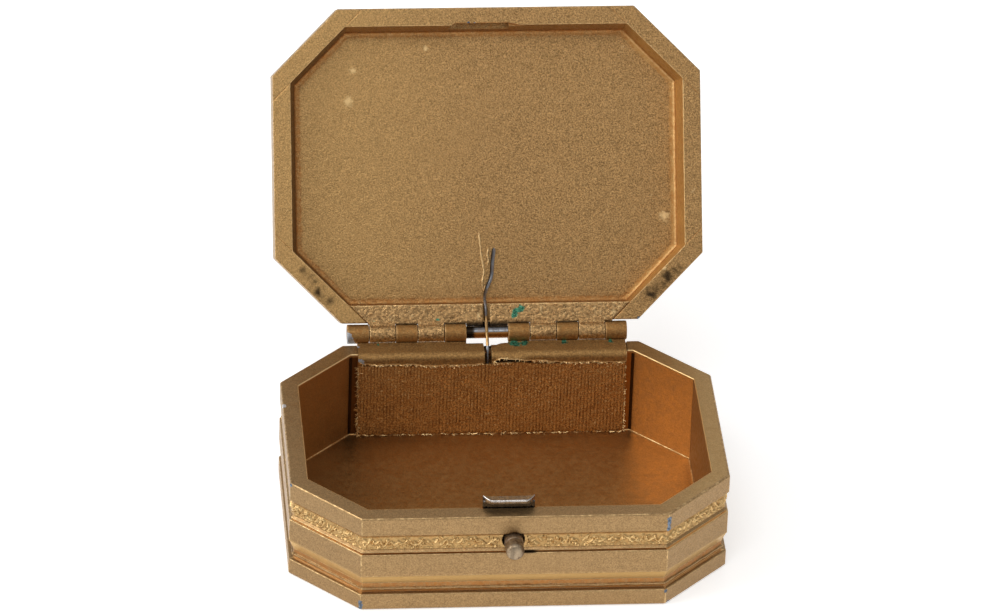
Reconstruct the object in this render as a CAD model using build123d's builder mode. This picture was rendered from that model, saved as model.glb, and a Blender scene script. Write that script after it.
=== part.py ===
"""Octagonal hinged metal box for rosin, built with its lid standing open.

Millimetres. +Z is up, +X is to the right, -Y is the front with the push button.
The origin is the middle of the flat underside. Lid pieces are drawn in their
closed position and turned about the hinge axis to the open one at the end.
"""
import os
from math import cos, radians, sin, sqrt, tan

from build123d import *

# Outline of the box seen from above: a rectangle with its corners cut at 45 degrees
WIDTH = 60.0
DEPTH = 43.9
CORNER = 9.2
HALF_W = WIDTH / 2
HALF_D = DEPTH / 2
CORNER_SUM = HALF_W + HALF_D - CORNER     # x + y along an outer corner face

# Case
CASE_H = 14.75
WALL = 2.5
FLOOR_T = 1.5

# Outside moulding of the case, bottom to top: height, then how far it is set in
MOULDING = [
    (0.00, 0.25), (0.22, 0.00),                     # foot
    (2.40, 0.00), (2.52, 0.10), (2.60, 0.62),       # base band
    (2.95, 0.62), (3.02, 0.42), (3.28, 0.42),       # bead in the lower groove
    (3.35, 0.65), (4.00, 0.65), (5.35, 0.08),       # slope under the middle band
    (5.42, 0.00), (8.80, 0.00), (8.90, 0.10),       # middle band
    (8.95, 0.42), (9.12, 0.42), (9.18, 0.15),       # fine line under the frieze
    (9.50, 0.50), (11.45, 0.55), (11.95, 0.12),     # frieze field
    (12.05, 0.00), (14.60, 0.00), (14.75, 0.14),    # upper band and rim edge
]

# Lid
SEAM = 0.15
LID_Z0 = CASE_H + SEAM
LID_TOP = 20.35
PANEL_T = 1.5
PANEL_Z0 = LID_TOP - PANEL_T
RIM_DRAFT = 11.0
RIM_TOP_W = WALL + (PANEL_Z0 - LID_Z0) * tan(radians(RIM_DRAFT))
OVAL_A, OVAL_B, OVAL_SLOPE, OVAL_DEPTH = 21.9, 13.6, 0.9, 0.55
MEDAL_A, MEDAL_B, MEDAL_SLOPE, MEDAL_H = 11.7, 7.1, 0.45, 0.62
PLATE_TOP = [(28.6, 13.05), (21.05, 20.6), (16.85, 9.35)]
PLATE_H = 0.8
PLATE_BEVEL = 0.35

# Hinge behind the back face
AXIS_Y = HALF_D + 1.5
AXIS_Z = CASE_H + 0.85
BARREL_R = 1.35
PIN_R = 0.72
BORE_R = 0.77
LEAF_T = 0.3
LEAF_X0, LEAF_X1 = -18.7, 18.9
FLANGE_Z0 = 13.0
HINGE_X0 = -20.1
CASE_KNUCKLE, LID_KNUCKLE, HINGE_GAP, KNUCKLE_PLAY = 3.1, 3.72, 5.8, 0.04
LID_OPEN = 121.0

# Wire that lifts the lid
WIRE_R = 0.25
WIRE_X = -0.55
WIRE_SLOT = 1.0

# Catch and push button
CATCH_X0, CATCH_X1 = -4.35, 2.70
CATCH_T = 0.5
CATCH_Y = -19.6
NOSE_Z0, NOSE_Z1, NOSE_OUT = 15.7, 16.5, 0.95
LIP_Z1 = 15.62
BUTTON_X, BUTTON_Z = -0.2, 10.7
BUTTON_R, BUTTON_HOLE_R, BUTTON_OUT = 1.25, 1.55, 3.0
RIVET_Z, RIVET_R, RIVET_HEAD_R = 3.2, 0.6, 1.0
RIVET_XS = (-3.0, 1.35)

# Ribbed strip glued inside the back wall
LINING_Y0, LINING_Y1 = 18.95, 19.40

HINGE_AXIS = Axis((0, AXIS_Y, AXIS_Z), (1, 0, 0))


def polygon(plane, points):
    """Face bounded by the points, always drawn anticlockwise on the plane."""
    area = sum(a[0] * b[1] - b[0] * a[1] for a, b in zip(points, points[1:] + points[:1]))
    with BuildSketch(plane) as outline:
        Polygon(*(points if area > 0 else points[::-1]), align=None)
    return outline.sketch.face()


def disc(plane, x, y, radius):
    """Round face on the plane."""
    with BuildSketch(plane) as outline:
        with Locations((x, y)):
            Circle(radius)
    return outline.sketch.face()


def oval(z, a, b):
    """Level elliptical face with half axes a and b."""
    with BuildSketch(Plane.XY.offset(z)) as outline:
        Ellipse(a, b)
    return outline.sketch.face()


def octagon(z, inset):
    """Outline of the box moved inwards by inset, at height z."""
    w, d = HALF_W - inset, HALF_D - inset
    c = CORNER - inset * (2 - sqrt(2))
    return polygon(Plane.XY.offset(z), [
        (w, d - c), (w - c, d), (c - w, d), (-w, d - c),
        (-w, c - d), (c - w, -d), (w - c, -d), (w, c - d)])


def block(x0, x1, y0, y1, z0, z1, mode=Mode.ADD):
    """Box given by its limits, added to or cut from the open part."""
    with Locations(((x0 + x1) / 2, (y0 + y1) / 2, (z0 + z1) / 2)):
        Box(x1 - x0, y1 - y0, z1 - z0, mode=mode)


def tube(x0, x1, y, z, radius, mode=Mode.ADD):
    """Cylinder along X."""
    extrude(disc(Plane.YZ.offset(x0), y, z, radius), amount=x1 - x0, mode=mode)


def rod(x, z, y0, y1, radius, mode=Mode.ADD):
    """Cylinder along Y, from y0 back to y1."""
    plane = Plane((0, y0, 0), x_dir=(1, 0, 0), z_dir=(0, 1, 0))
    extrude(disc(plane, x, -z, radius), amount=y1 - y0, mode=mode)


def opened(part):
    """The part turned from the closed lid position to the open one."""
    return part.rotate(HINGE_AXIS, -LID_OPEN)


def opened_point(x, y, z):
    """A point of the closed lid, turned to the open position."""
    dy, dz, t = y - AXIS_Y, z - AXIS_Z, radians(LID_OPEN)
    return (x, AXIS_Y + dy * cos(t) + dz * sin(t), AXIS_Z - dy * sin(t) + dz * cos(t))


def knuckles():
    """Spans along X of the case knuckles and of the lid knuckles."""
    case_spans, lid_spans, x = [], [], HINGE_X0
    for side in range(2):
        for index in range(5):
            own = index % 2 == 0
            length = CASE_KNUCKLE if own else LID_KNUCKLE
            spans = case_spans if own else lid_spans
            spans.append((x + KNUCKLE_PLAY, x + length - KNUCKLE_PLAY))
            x += length
        x += HINGE_GAP
    return case_spans, lid_spans


def half(spans, left):
    """The spans that belong to the left or to the right hinge."""
    return [span for span in spans if (span[0] < WIRE_X) == left]


def corner_bar_points(sx, sy, width):
    """Rim bar of one cut corner: it runs through to both neighbouring faces."""
    inner = CORNER_SUM - width * sqrt(2)
    points = [(HALF_W, CORNER_SUM - HALF_W), (CORNER_SUM - HALF_D, HALF_D),
              (inner - HALF_D, HALF_D), (HALF_W, inner - HALF_W)]
    return [(sx * x, sy * y) for x, y in points]


def end_bar_points(sy, width):
    """Front or rear rim bar, butted between two corner bars."""
    inner = CORNER_SUM - width * sqrt(2)
    far, near = inner - HALF_D, inner - HALF_D + width
    return [(-far, sy * HALF_D), (far, sy * HALF_D),
            (near, sy * (HALF_D - width)), (-near, sy * (HALF_D - width))]


def side_bar_points(sx, width):
    """Left or right rim bar, butted between two corner bars."""
    inner = CORNER_SUM - width * sqrt(2)
    far, near = inner - HALF_W, inner - HALF_W + width
    return [(sx * HALF_W, -far), (sx * HALF_W, far),
            (sx * (HALF_W - width), near), (sx * (HALF_W - width), -near)]


def drafted(points, z0=LID_Z0, z1=PANEL_Z0):
    """Rim bar whose inner face leans inwards on its way up to the panel."""
    widths = [WALL + (z - LID_Z0) * tan(radians(RIM_DRAFT)) for z in (z0, z1)]
    loft([polygon(Plane.XY.offset(z), points(width))
          for z, width in zip((z0, z1), widths)], ruled=True)


def build_case_frame():
    with BuildPart() as frame:
        loft([octagon(z, inset) for z, inset in MOULDING], ruled=True)
        extrude(octagon(0, WALL), amount=CASE_H, mode=Mode.SUBTRACT)
        # seat of the hinge leaf, and the slot that lets the wire pass
        block(LEAF_X0 - 0.05, LEAF_X1 + 0.05, HALF_D - WALL, HALF_D,
              CASE_H - LEAF_T - 0.02, CASE_H, Mode.SUBTRACT)
        slot0, slot1 = WIRE_X - WIRE_SLOT / 2, WIRE_X + WIRE_SLOT / 2
        block(slot0, slot1, HALF_D - WALL, HALF_D, 13.9, CASE_H, Mode.SUBTRACT)
        block(slot0, slot1, HALF_D - WALL, HALF_D - 1.3, 12.4, CASE_H, Mode.SUBTRACT)
        block(slot0, slot1, HALF_D - WALL, HALF_D - WALL + 0.7, 5.6, 13.0, Mode.SUBTRACT)
        # pocket of the catch, button hole and rivet holes
        block(CATCH_X0 - 0.25, CATCH_X1 + 0.25, CATCH_Y - 0.2, WALL - HALF_D,
              FLOOR_T, CASE_H, Mode.SUBTRACT)
        rod(BUTTON_X, BUTTON_Z, -HALF_D - 1, WALL - HALF_D, BUTTON_HOLE_R, Mode.SUBTRACT)
        for x in RIVET_XS:
            rod(x, RIVET_Z, -HALF_D + 0.9, WALL - HALF_D, RIVET_R, Mode.SUBTRACT)
    return frame.part


def build_case_floor():
    with BuildPart() as floor:
        extrude(octagon(0, WALL), amount=FLOOR_T)
    return floor.part


def build_hinge_leaf_case(left):
    """Thin leaf over one half of the rear rim, folded down inside, with its knuckles."""
    slot0, slot1 = WIRE_X - WIRE_SLOT / 2, WIRE_X + WIRE_SLOT / 2
    x0, x1 = (LEAF_X0, slot0) if left else (slot1, LEAF_X1)
    fold = HALF_D - WALL - 0.1
    with BuildPart() as leaf:
        block(x0, x1, fold, HALF_D, CASE_H - LEAF_T, CASE_H)
        block(x0, x1, fold - LEAF_T, fold, FLANGE_Z0, CASE_H)
        for k0, k1 in half(knuckles()[0], left):
            block(max(k0, x0), min(k1, x1), HALF_D - 0.4, AXIS_Y - 0.6, CASE_H - LEAF_T, CASE_H)
            tube(k0, k1, AXIS_Y, AXIS_Z, BARREL_R)
        tube(HINGE_X0 - 1, -HINGE_X0 + 1, AXIS_Y, AXIS_Z, BORE_R, Mode.SUBTRACT)
    return leaf.part


def build_hinge_pin():
    with BuildPart() as pin:
        x1 = knuckles()[0][-1][1]
        tube(HINGE_X0 + 0.05, x1, AXIS_Y, AXIS_Z, PIN_R)
        chamfer(pin.edges().filter_by(GeomType.CIRCLE), length=0.12)
    return pin.part


def build_back_lining():
    with BuildPart() as lining:
        block(LEAF_X0, LEAF_X1, LINING_Y0, LINING_Y1, FLOOR_T + 0.05, FLANGE_Z0 - 0.05)
    return lining.part


def build_lid_spring():
    """Bent wire: from behind the lining, over the rear rim, onto the lid."""
    points = [(WIRE_X, 19.76, 6.0), (WIRE_X, 19.76, 9.0), (WIRE_X, 19.74, 12.0),
              (WIRE_X, 20.30, 14.35), (WIRE_X, 22.00, 15.95)]
    points += [opened_point(*p) for p in (
        (-0.55, 21.70, 15.40), (-0.62, 19.90, 15.45), (-0.62, 18.55, 16.60),
        (-0.21, 17.40, 17.95), (0.50, 15.75, 18.50), (0.69, 13.77, 18.55),
        (0.94, 11.72, 18.52))]
    with BuildPart() as wire:
        with BuildLine() as path:
            Spline(*points)
        with BuildSketch(Plane(points[0], x_dir=(1, 0, 0), z_dir=path.line % 0)):
            Circle(WIRE_R)
        sweep(path=path.line)
    return wire.part


def build_catch_leaf():
    """Flat spring with a hooked upper edge, held by two rivets near its foot."""
    with BuildPart() as leaf:
        block(CATCH_X0, CATCH_X1, CATCH_Y, CATCH_Y + CATCH_T, 2.2, NOSE_Z1)
        nose = [(CATCH_Y, NOSE_Z0), (CATCH_Y, NOSE_Z1), (CATCH_Y - 0.2, NOSE_Z1),
                (CATCH_Y - NOSE_OUT, NOSE_Z0 + 0.35), (CATCH_Y - NOSE_OUT, NOSE_Z0)]
        extrude(polygon(Plane.YZ.offset(CATCH_X0), nose), amount=CATCH_X1 - CATCH_X0)
        fillet(leaf.edges().filter_by(Axis.Z).group_by(Axis.Y)[0], radius=0.6)
        for x in RIVET_XS:
            rod(x, RIVET_Z, CATCH_Y - 1, CATCH_Y + 1, RIVET_R + 0.1, Mode.SUBTRACT)
    return leaf.part


def build_push_button():
    with BuildPart() as button:
        rod(BUTTON_X, BUTTON_Z, -HALF_D - BUTTON_OUT, CATCH_Y, BUTTON_R)
        fillet(button.edges().filter_by(GeomType.CIRCLE).sort_by(Axis.Y)[0], radius=0.3)
    return button.part


def build_catch_rivets():
    with BuildPart() as rivets:
        head_y = CATCH_Y + CATCH_T + 0.08
        for x in RIVET_XS:
            rod(x, RIVET_Z, -HALF_D + 0.9, head_y, RIVET_R)
            rod(x, RIVET_Z, head_y, head_y + 0.4, RIVET_HEAD_R)
        chamfer(rivets.edges().filter_by(GeomType.CIRCLE).group_by(Axis.Y)[-1], length=0.2)
    return rivets.part


def build_lid_panel():
    """Top plate of the lid with its sunk oval field."""
    bevel = 0.15
    with BuildPart() as panel:
        loft([octagon(PANEL_Z0, 0), octagon(LID_TOP - bevel, 0), octagon(LID_TOP, bevel)],
             ruled=True)
        loft([oval(LID_TOP - OVAL_DEPTH, OVAL_A - OVAL_SLOPE, OVAL_B - OVAL_SLOPE),
              oval(LID_TOP, OVAL_A, OVAL_B)], ruled=True, mode=Mode.SUBTRACT)
    return panel.part


def build_lid_medallion():
    z0 = LID_TOP - OVAL_DEPTH
    with BuildPart() as medallion:
        loft([oval(z0, MEDAL_A + MEDAL_SLOPE, MEDAL_B + MEDAL_SLOPE),
              oval(z0 + MEDAL_H, MEDAL_A, MEDAL_B)], ruled=True)
    return medallion.part


def build_lid_plate(sx, sy):
    """Raised three-cornered plate with bevelled edges."""
    points = [(sx * x, sy * y) for x, y in PLATE_TOP]
    with BuildSketch(Plane.XY.offset(LID_TOP)) as foot:
        add(polygon(Plane.XY, points))
        offset(amount=PLATE_BEVEL, kind=Kind.INTERSECTION)
    with BuildPart() as plate:
        loft([foot.sketch.face(), polygon(Plane.XY.offset(LID_TOP + PLATE_H), points)],
             ruled=True)
    return plate.part


def build_lid_corner(sx, sy):
    with BuildPart() as bar:
        drafted(lambda width: corner_bar_points(sx, sy, width))
    return bar.part


def build_lid_side(sx):
    with BuildPart() as bar:
        drafted(lambda width: side_bar_points(sx, width))
    return bar.part


def build_lid_front():
    """Front rim bar with the scooped, undercut lip that the catch takes hold of."""
    scoop, reach = 0.62, 4.9
    radius = (reach ** 2 + scoop ** 2) / (2 * scoop)
    with BuildPart() as bar:
        drafted(lambda width: end_bar_points(-1, width))
        middle = (CATCH_X0 + CATCH_X1) / 2 + 0.4
        extrude(disc(Plane.XY.offset(LID_Z0), middle, WALL - HALF_D - scoop + radius, radius),
                amount=LIP_Z1 - LID_Z0, mode=Mode.SUBTRACT)
        block(CATCH_X0 - 0.5, CATCH_X1 + 0.5, CATCH_Y - NOSE_OUT - 0.35, -18.0,
              LIP_Z1, NOSE_Z1 + 0.7, Mode.SUBTRACT)
    return bar.part


def build_lid_rear():
    """Rear rim bar, set back for the hinge leaf and grooved for the wire."""
    with BuildPart() as bar:
        drafted(lambda width: end_bar_points(1, width), z0=LID_Z0 + LEAF_T)
        block(WIRE_X - WIRE_SLOT / 2 - 0.1, WIRE_X + WIRE_SLOT / 2 + 0.1, 18.0, HALF_D,
              LID_Z0, LID_Z0 + 1.3, Mode.SUBTRACT)
    return bar.part


def build_hinge_leaf_lid(left):
    """Flat leaf let into one half of the lid's rear rim, with its knuckles."""
    outer = CORNER_SUM - (WALL + 0.1) * sqrt(2) - HALF_D
    inner = outer + WALL - 0.1
    slot0, slot1 = WIRE_X - WIRE_SLOT / 2, WIRE_X + WIRE_SLOT / 2
    points = [(slot0, HALF_D), (-outer, HALF_D), (-inner, HALF_D - WALL), (slot0, HALF_D - WALL)]
    if not left:
        points = [(slot1, HALF_D), (outer, HALF_D), (inner, HALF_D - WALL), (slot1, HALF_D - WALL)]
    with BuildPart() as leaf:
        extrude(polygon(Plane.XY.offset(LID_Z0), points), amount=LEAF_T)
        for k0, k1 in half(knuckles()[1], left):
            block(k0, k1, HALF_D - 0.4, AXIS_Y - 0.9, LID_Z0, LID_Z0 + LEAF_T)
            tube(k0, k1, AXIS_Y, AXIS_Z, BARREL_R)
        tube(HINGE_X0 - 1, -HINGE_X0 + 1, AXIS_Y, AXIS_Z, BORE_R, Mode.SUBTRACT)
    return leaf.part


def save(name, part):
    part.label = name
    export_step(part, f"parts/{name}.step")


os.makedirs("parts", exist_ok=True)

save("case_frame", build_case_frame())
save("case_floor", build_case_floor())
save("hinge_pin", build_hinge_pin())
save("back_lining", build_back_lining())
save("lid_spring", build_lid_spring())
save("catch_leaf", build_catch_leaf())
save("push_button", build_push_button())
save("catch_rivets", build_catch_rivets())

save("lid_panel", opened(build_lid_panel()))
save("lid_medallion", opened(build_lid_medallion()))
save("lid_rim_front", opened(build_lid_front()))
save("lid_rim_rear", opened(build_lid_rear()))
for side, sx in (("left", -1), ("right", 1)):
    save(f"hinge_leaf_case_{side}", build_hinge_leaf_case(sx < 0))
    save(f"hinge_leaf_lid_{side}", opened(build_hinge_leaf_lid(sx < 0)))
    save(f"lid_rim_{side}", opened(build_lid_side(sx)))
    for end, sy in (("front", -1), ("back", 1)):
        save(f"lid_corner_{end}_{side}", opened(build_lid_corner(sx, sy)))
        save(f"lid_plate_{end}_{side}", opened(build_lid_plate(sx, sy)))
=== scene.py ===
"""Looks of the hinged rosin box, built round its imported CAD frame.

Shapes are written in millimetres with the lid closed. make() turns the lid's
pieces to the open rest position and scales every mesh to metres.
"""

import math

import bmesh
import bpy
import numpy as np
from mathutils import Matrix, Vector


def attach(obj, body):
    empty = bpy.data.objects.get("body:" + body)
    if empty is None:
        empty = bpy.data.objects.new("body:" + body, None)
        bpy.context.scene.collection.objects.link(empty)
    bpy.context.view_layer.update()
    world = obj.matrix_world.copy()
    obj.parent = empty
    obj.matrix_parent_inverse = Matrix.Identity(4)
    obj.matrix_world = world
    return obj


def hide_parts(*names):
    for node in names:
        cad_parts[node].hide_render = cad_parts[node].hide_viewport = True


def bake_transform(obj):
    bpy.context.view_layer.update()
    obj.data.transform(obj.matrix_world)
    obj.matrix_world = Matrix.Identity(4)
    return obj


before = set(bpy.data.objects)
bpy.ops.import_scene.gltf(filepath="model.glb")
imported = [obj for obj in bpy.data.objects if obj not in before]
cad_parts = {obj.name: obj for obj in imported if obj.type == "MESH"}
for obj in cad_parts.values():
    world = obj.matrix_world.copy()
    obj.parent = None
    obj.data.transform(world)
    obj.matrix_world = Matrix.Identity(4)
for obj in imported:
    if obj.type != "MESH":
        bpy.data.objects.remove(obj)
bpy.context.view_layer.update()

# ---------------------------------------------------------------- dimensions, mm
HALF_W, HALF_D, CORNER = 30.0, 21.95, 9.2
CASE_H, WALL, FLOOR_T = 14.75, 2.5, 1.5
MOULDING = [
    (0.00, 0.25), (0.22, 0.00), (2.40, 0.00), (2.52, 0.10), (2.60, 0.62),
    (2.95, 0.62), (3.02, 0.42), (3.28, 0.42), (3.35, 0.65), (4.00, 0.65),
    (5.35, 0.08), (5.42, 0.00), (8.80, 0.00), (8.90, 0.10), (8.95, 0.42),
    (9.12, 0.42), (9.18, 0.15), (9.50, 0.50), (11.45, 0.55), (11.95, 0.12),
    (12.05, 0.00), (14.60, 0.00), (14.75, 0.14)]
LID_Z0, LID_TOP, PANEL_Z0 = 14.90, 20.35, 18.85
DRAFT = math.tan(math.radians(11.0))
OVAL_A, OVAL_B, OVAL_SLOPE, OVAL_DEPTH = 21.9, 13.6, 0.9, 0.55
MEDAL_A, MEDAL_B = 11.7, 7.1
PLATE = [(28.6, 13.05), (21.05, 20.6), (16.85, 9.35)]
PLATE_H = 0.8
AXIS_Y, AXIS_Z, OPEN_DEG = 23.45, 15.60, 121.0
BARREL_R, PIN_R, BORE_R, LEAF_T = 1.35, 0.72, 0.77, 0.30
LEAF_X0, LEAF_X1, SLOT_X0, SLOT_X1 = -18.7, 18.9, -1.05, -0.05
HINGE_X0, CASE_KNUCKLE, LID_KNUCKLE, HINGE_GAP, PLAY = -20.1, 3.1, 3.72, 5.8, 0.04
CATCH_X0, CATCH_X1, CATCH_Y, CATCH_T = -4.35, 2.70, -19.6, 0.5
BUTTON_X, BUTTON_Z, BUTTON_R, HOLE_R, BUTTON_OUT = -0.2, 10.7, 1.25, 1.55, 3.0
RIVET_Z, RIVET_R, RIVET_XS = 3.2, 0.6, (-3.0, 1.35)
LINING_Y0, LINING_Y1, LINING_Z0, LINING_Z1 = 18.95, 19.40, 1.55, 12.95
ROOT2 = math.sqrt(2)
CORNER_SUM = HALF_W + HALF_D - CORNER
ROUND = 0.13                                # corner radius of the octagonal outlines
SCOOP_T, POCKET_T, GROOVE_T = 0.72, 2.3, 1.3  # depths cut into the lid's rim bars
FLAT = np.array((1.0, 1.0, 0.0))            # for noise that ignores height


# ---------------------------------------------------------------- numbers
def hashed(ix, iy, iz, seed):
    h = (ix * 374761393 + iy * 668265263 + iz * 974711119 + seed * 127412617) & 0xFFFFFFFF
    h = ((h ^ (h >> 13)) * 1103515245) & 0xFFFFFFFF
    h = ((h ^ (h >> 15)) * 668265263) & 0xFFFFFFFF
    return ((h >> 9) & 0xFFFF) / 65535.0


def noise(points, size, seed=0):
    """Smooth noise from -1 to 1, with cells of that size."""
    q = np.asarray(points, float) / size
    i = np.floor(q).astype(np.int64)
    f = q - i
    f = f * f * (3 - 2 * f)
    total = 0.0
    for k in range(8):
        d = [(k >> b) & 1 for b in range(3)]
        w = 1.0
        for b in range(3):
            w = w * (f[..., b] if d[b] else 1 - f[..., b])
        total = total + w * hashed(i[..., 0] + d[0], i[..., 1] + d[1], i[..., 2] + d[2], seed)
    return total * 2 - 1


def smooth(x):
    x = np.clip(x, 0, 1)
    return x * x * (3 - 2 * x)


def circle(count):
    """Evenly spaced angles round a circle."""
    return np.linspace(0, 2 * math.pi, count, endpoint=False)


def at_height(outline, z):
    return np.column_stack([outline, np.full(len(outline), z)])


def ellipse(a, b, angles):
    return np.column_stack([a * np.cos(angles), b * np.sin(angles)])


def lengths(points):
    """Distance along a line of points, from its start."""
    return np.concatenate([[0], np.cumsum(np.linalg.norm(np.diff(points, axis=0), axis=1))])


def near(points, places):
    """How near each point is to the nearest of the (x, y, z, radius) places, 0 to 1."""
    out = np.zeros(points.shape[:-1])
    for x, y, z, r in places:
        d = np.linalg.norm(points - np.array((x, y, z)), axis=-1)
        out = np.maximum(out, 1 - d / r)
    return np.clip(out, 0, 1)


def opened(points):
    """Points of the closed lid, turned to the open rest position."""
    t = math.radians(OPEN_DEG)
    q = np.array(points, float)
    dy, dz = q[..., 1] - AXIS_Y, q[..., 2] - AXIS_Z
    q[..., 1] = AXIS_Y + dy * math.cos(t) + dz * math.sin(t)
    q[..., 2] = AXIS_Z - dy * math.sin(t) + dz * math.cos(t)
    return q


# ---------------------------------------------------------------- meshes
class Marks(dict):
    """Marks for the paint on a grid of points: wear and painted highlights, dirt, soot and painted
    shade, painted sheen and others, from 0 to 1.
    """

    def __init__(self, shape):
        super().__init__()
        self.shape = shape

    def __missing__(self, name):
        self[name] = np.zeros(self.shape)
        return self[name]

    def most(self, name, value, where=True):
        """Raises a mark to the value where it is lower."""
        self[name] = np.maximum(self[name], np.where(where, value, 0))

    def put(self, name, value, where):
        self[name] = np.where(where, value, self[name])


def spread(values, count):
    """A mark at every point of a mesh: one number for all of them, or a grid's values,
    which a slab repeats on its back and a loft ends with zeros for the hubs of its caps."""
    if np.ndim(values) == 0:
        return np.full(count, float(values))
    values = np.asarray(values, float).ravel()
    missing = count - values.size
    return np.concatenate([values, values if missing == values.size else np.zeros(missing)])


def make(name, points, faces, body, material, nodes=(), slot=None, lid=False,
         marks=None, sharp=42.0):
    """A finished piece from points in mm: cleaned, shaded, riding on its body."""
    points = np.asarray(points, float).reshape(-1, 3)
    if lid:
        points = opened(points)
    mesh = bpy.data.meshes.new(name)
    mesh.from_pydata((points * 0.001).tolist(), [], faces)
    for mark, values in (marks or {}).items():
        layer = mesh.attributes.new(mark, "FLOAT", "POINT")
        layer.data.foreach_set("value", spread(values, len(points)).astype(np.float32))
    bm = bmesh.new()
    bm.from_mesh(mesh)
    bmesh.ops.remove_doubles(bm, verts=bm.verts, dist=1e-7)
    bmesh.ops.dissolve_degenerate(bm, edges=bm.edges, dist=1e-8)
    bmesh.ops.recalc_face_normals(bm, faces=bm.faces)
    bm.to_mesh(mesh)
    bm.free()
    mesh.polygons.foreach_set("use_smooth", [True] * len(mesh.polygons))
    mesh.set_sharp_from_angle(angle=math.radians(sharp))
    mesh.materials.append(material)
    obj = add_object(name, mesh)
    if body:
        finish_piece(obj, body, nodes)
    return obj


def add_object(name, data):
    obj = bpy.data.objects.new(name, data)
    bpy.context.scene.collection.objects.link(obj)
    return obj


def finish_piece(obj, body, nodes=()):
    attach(obj, body)
    if nodes:
        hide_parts(*nodes)


def ring_faces(rows, cols, wrap_rows=False):
    """Quads between successive closed rings of points."""
    row = np.arange(rows if wrap_rows else rows - 1)[:, None] * cols
    col = np.arange(cols)[None]
    up, right = (row + cols) % (rows * cols), (col + 1) % cols
    corners = [row + col, row + right, up + right, up + col]
    return np.stack([c.ravel() for c in corners], 1).tolist()


def lofted(rings, cap0=True, cap1=True):
    """Points and faces of a skin over the rings, with a flat fan over each end."""
    rings = np.asarray(rings, float)
    rows, cols = rings.shape[:2]
    points = rings.reshape(-1, 3)
    faces = ring_faces(rows, cols)
    for cap, row in ((cap0, 0), (cap1, rows - 1)):
        if cap:
            points = np.vstack([points, rings[row].mean(0)])
            hub = len(points) - 1
            faces += [[row * cols + i, row * cols + (i + 1) % cols, hub] for i in range(cols)]
    return points, faces


def slab(front, back):
    """Closed sheet between two grids of points of the same shape."""
    u, v = front.shape[:2]
    n = u * v
    points = np.vstack([front.reshape(-1, 3), back.reshape(-1, 3)])
    ids = np.arange(n).reshape(u, v)
    quads = np.stack([ids[:-1, :-1], ids[1:, :-1], ids[1:, 1:], ids[:-1, 1:]], -1).reshape(-1, 4)
    rim = np.concatenate([ids[0, :-1], ids[:-1, -1], ids[-1, :0:-1], ids[:0:-1, 0]])
    nxt = np.roll(rim, -1)
    sides = np.stack([rim, nxt, nxt + n, rim + n], 1)
    return points, quads.tolist() + (quads[:, ::-1] + n).tolist() + sides.tolist()


def bezier(a, b, c, t):
    return a * (1 - t) ** 2 + b * 2 * t * (1 - t) + c * t * t


def loop(corners, radius, stations):
    """Closed outline with rounded corners. stations(i, length) gives the places along
    side i, measured from its middle, always the same number of them."""
    pts = [np.array(p, float) for p in corners]
    n, out = len(pts), []
    for i in range(n):
        z, a, b, c = pts[i - 1], pts[i], pts[(i + 1) % n], pts[(i + 2) % n]
        before, along, after = [(q - p) / np.linalg.norm(q - p)
                                for p, q in ((z, a), (a, b), (b, c))]
        length = np.linalg.norm(b - a)
        for t in (0.5, 0.75):
            out.append(bezier(a - before * radius, a, a + along * radius, t))
        for s in stations(i, length):
            out.append((a + b) / 2 + along * s)
        out.append(bezier(b - along * radius, b, b + after * radius, 0.25))
    return np.array(out)


def spaced(start, stops, end, counts, gap=0.002):
    """Evenly spaced values between the stops, with two values hard by each stop."""
    marks = [start, *stops, end]
    parts = []
    for k, n in enumerate(counts):
        lo = marks[k] + (gap if k else 0)
        parts.append(np.linspace(lo, marks[k + 1], n))
    return np.concatenate(parts)


def octagon(inset):
    w, d = HALF_W - inset, HALF_D - inset
    c = CORNER - inset * (2 - ROOT2)
    return [(w, d - c), (w - c, d), (c - w, d), (-w, d - c),
            (-w, c - d), (c - w, -d), (w - c, -d), (w, c - d)]


def outward(ring):
    """Unit normals of a closed anticlockwise outline, pointing out."""
    t = np.roll(ring, -2, 0) - np.roll(ring, 2, 0)
    nrm = np.stack([t[:, 1], -t[:, 0]], 1)
    return nrm / np.maximum(np.linalg.norm(nrm, axis=1)[:, None], 1e-9)


def rounded_profile(points, radius, step):
    """Open profile with its bends rounded and no gap longer than step(z)."""
    pts = [np.array(p, float) for p in points]
    out = [pts[0]]
    for a, b, c in zip(pts, pts[1:], pts[2:]):
        r = min(radius, 0.45 * np.linalg.norm(b - a), 0.45 * np.linalg.norm(c - b))
        p = b + (a - b) / np.linalg.norm(a - b) * r
        q = b + (c - b) / np.linalg.norm(c - b) * r
        out += [p, bezier(p, b, q, 0.5), q]
    out.append(pts[-1])
    full = [out[0]]
    for a, b in zip(out, out[1:]):
        n = max(1, int(np.ceil(np.linalg.norm(b - a) / step((a[0] + b[0]) / 2))))
        full += [a + (b - a) * k / n for k in range(1, n + 1)]
    return np.array(full)


def strokes(u, v, items, period=None):
    """Greatest height of the strokes at each (u, v): u0, v0, angle, length, width, height, bend."""
    h = np.zeros(u.shape)
    for u0, v0, ang, length, width, height, bend in items:
        du = u - u0
        if period:
            du = (du + period / 2) % period - period / 2
        reach = length + 3 * width
        cols = np.nonzero(np.abs(du).min(0) < reach)[0]
        if len(cols) == 0:
            continue
        a_u, a_v = du[:, cols], v[:, cols] - v0
        a = a_u * math.cos(ang) + a_v * math.sin(ang)
        b = -a_u * math.sin(ang) + a_v * math.cos(ang) + bend * a * a
        h[:, cols] = np.maximum(h[:, cols], height * np.exp(-(a / length) ** 4 - (b / width) ** 2))
    return h


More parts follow.
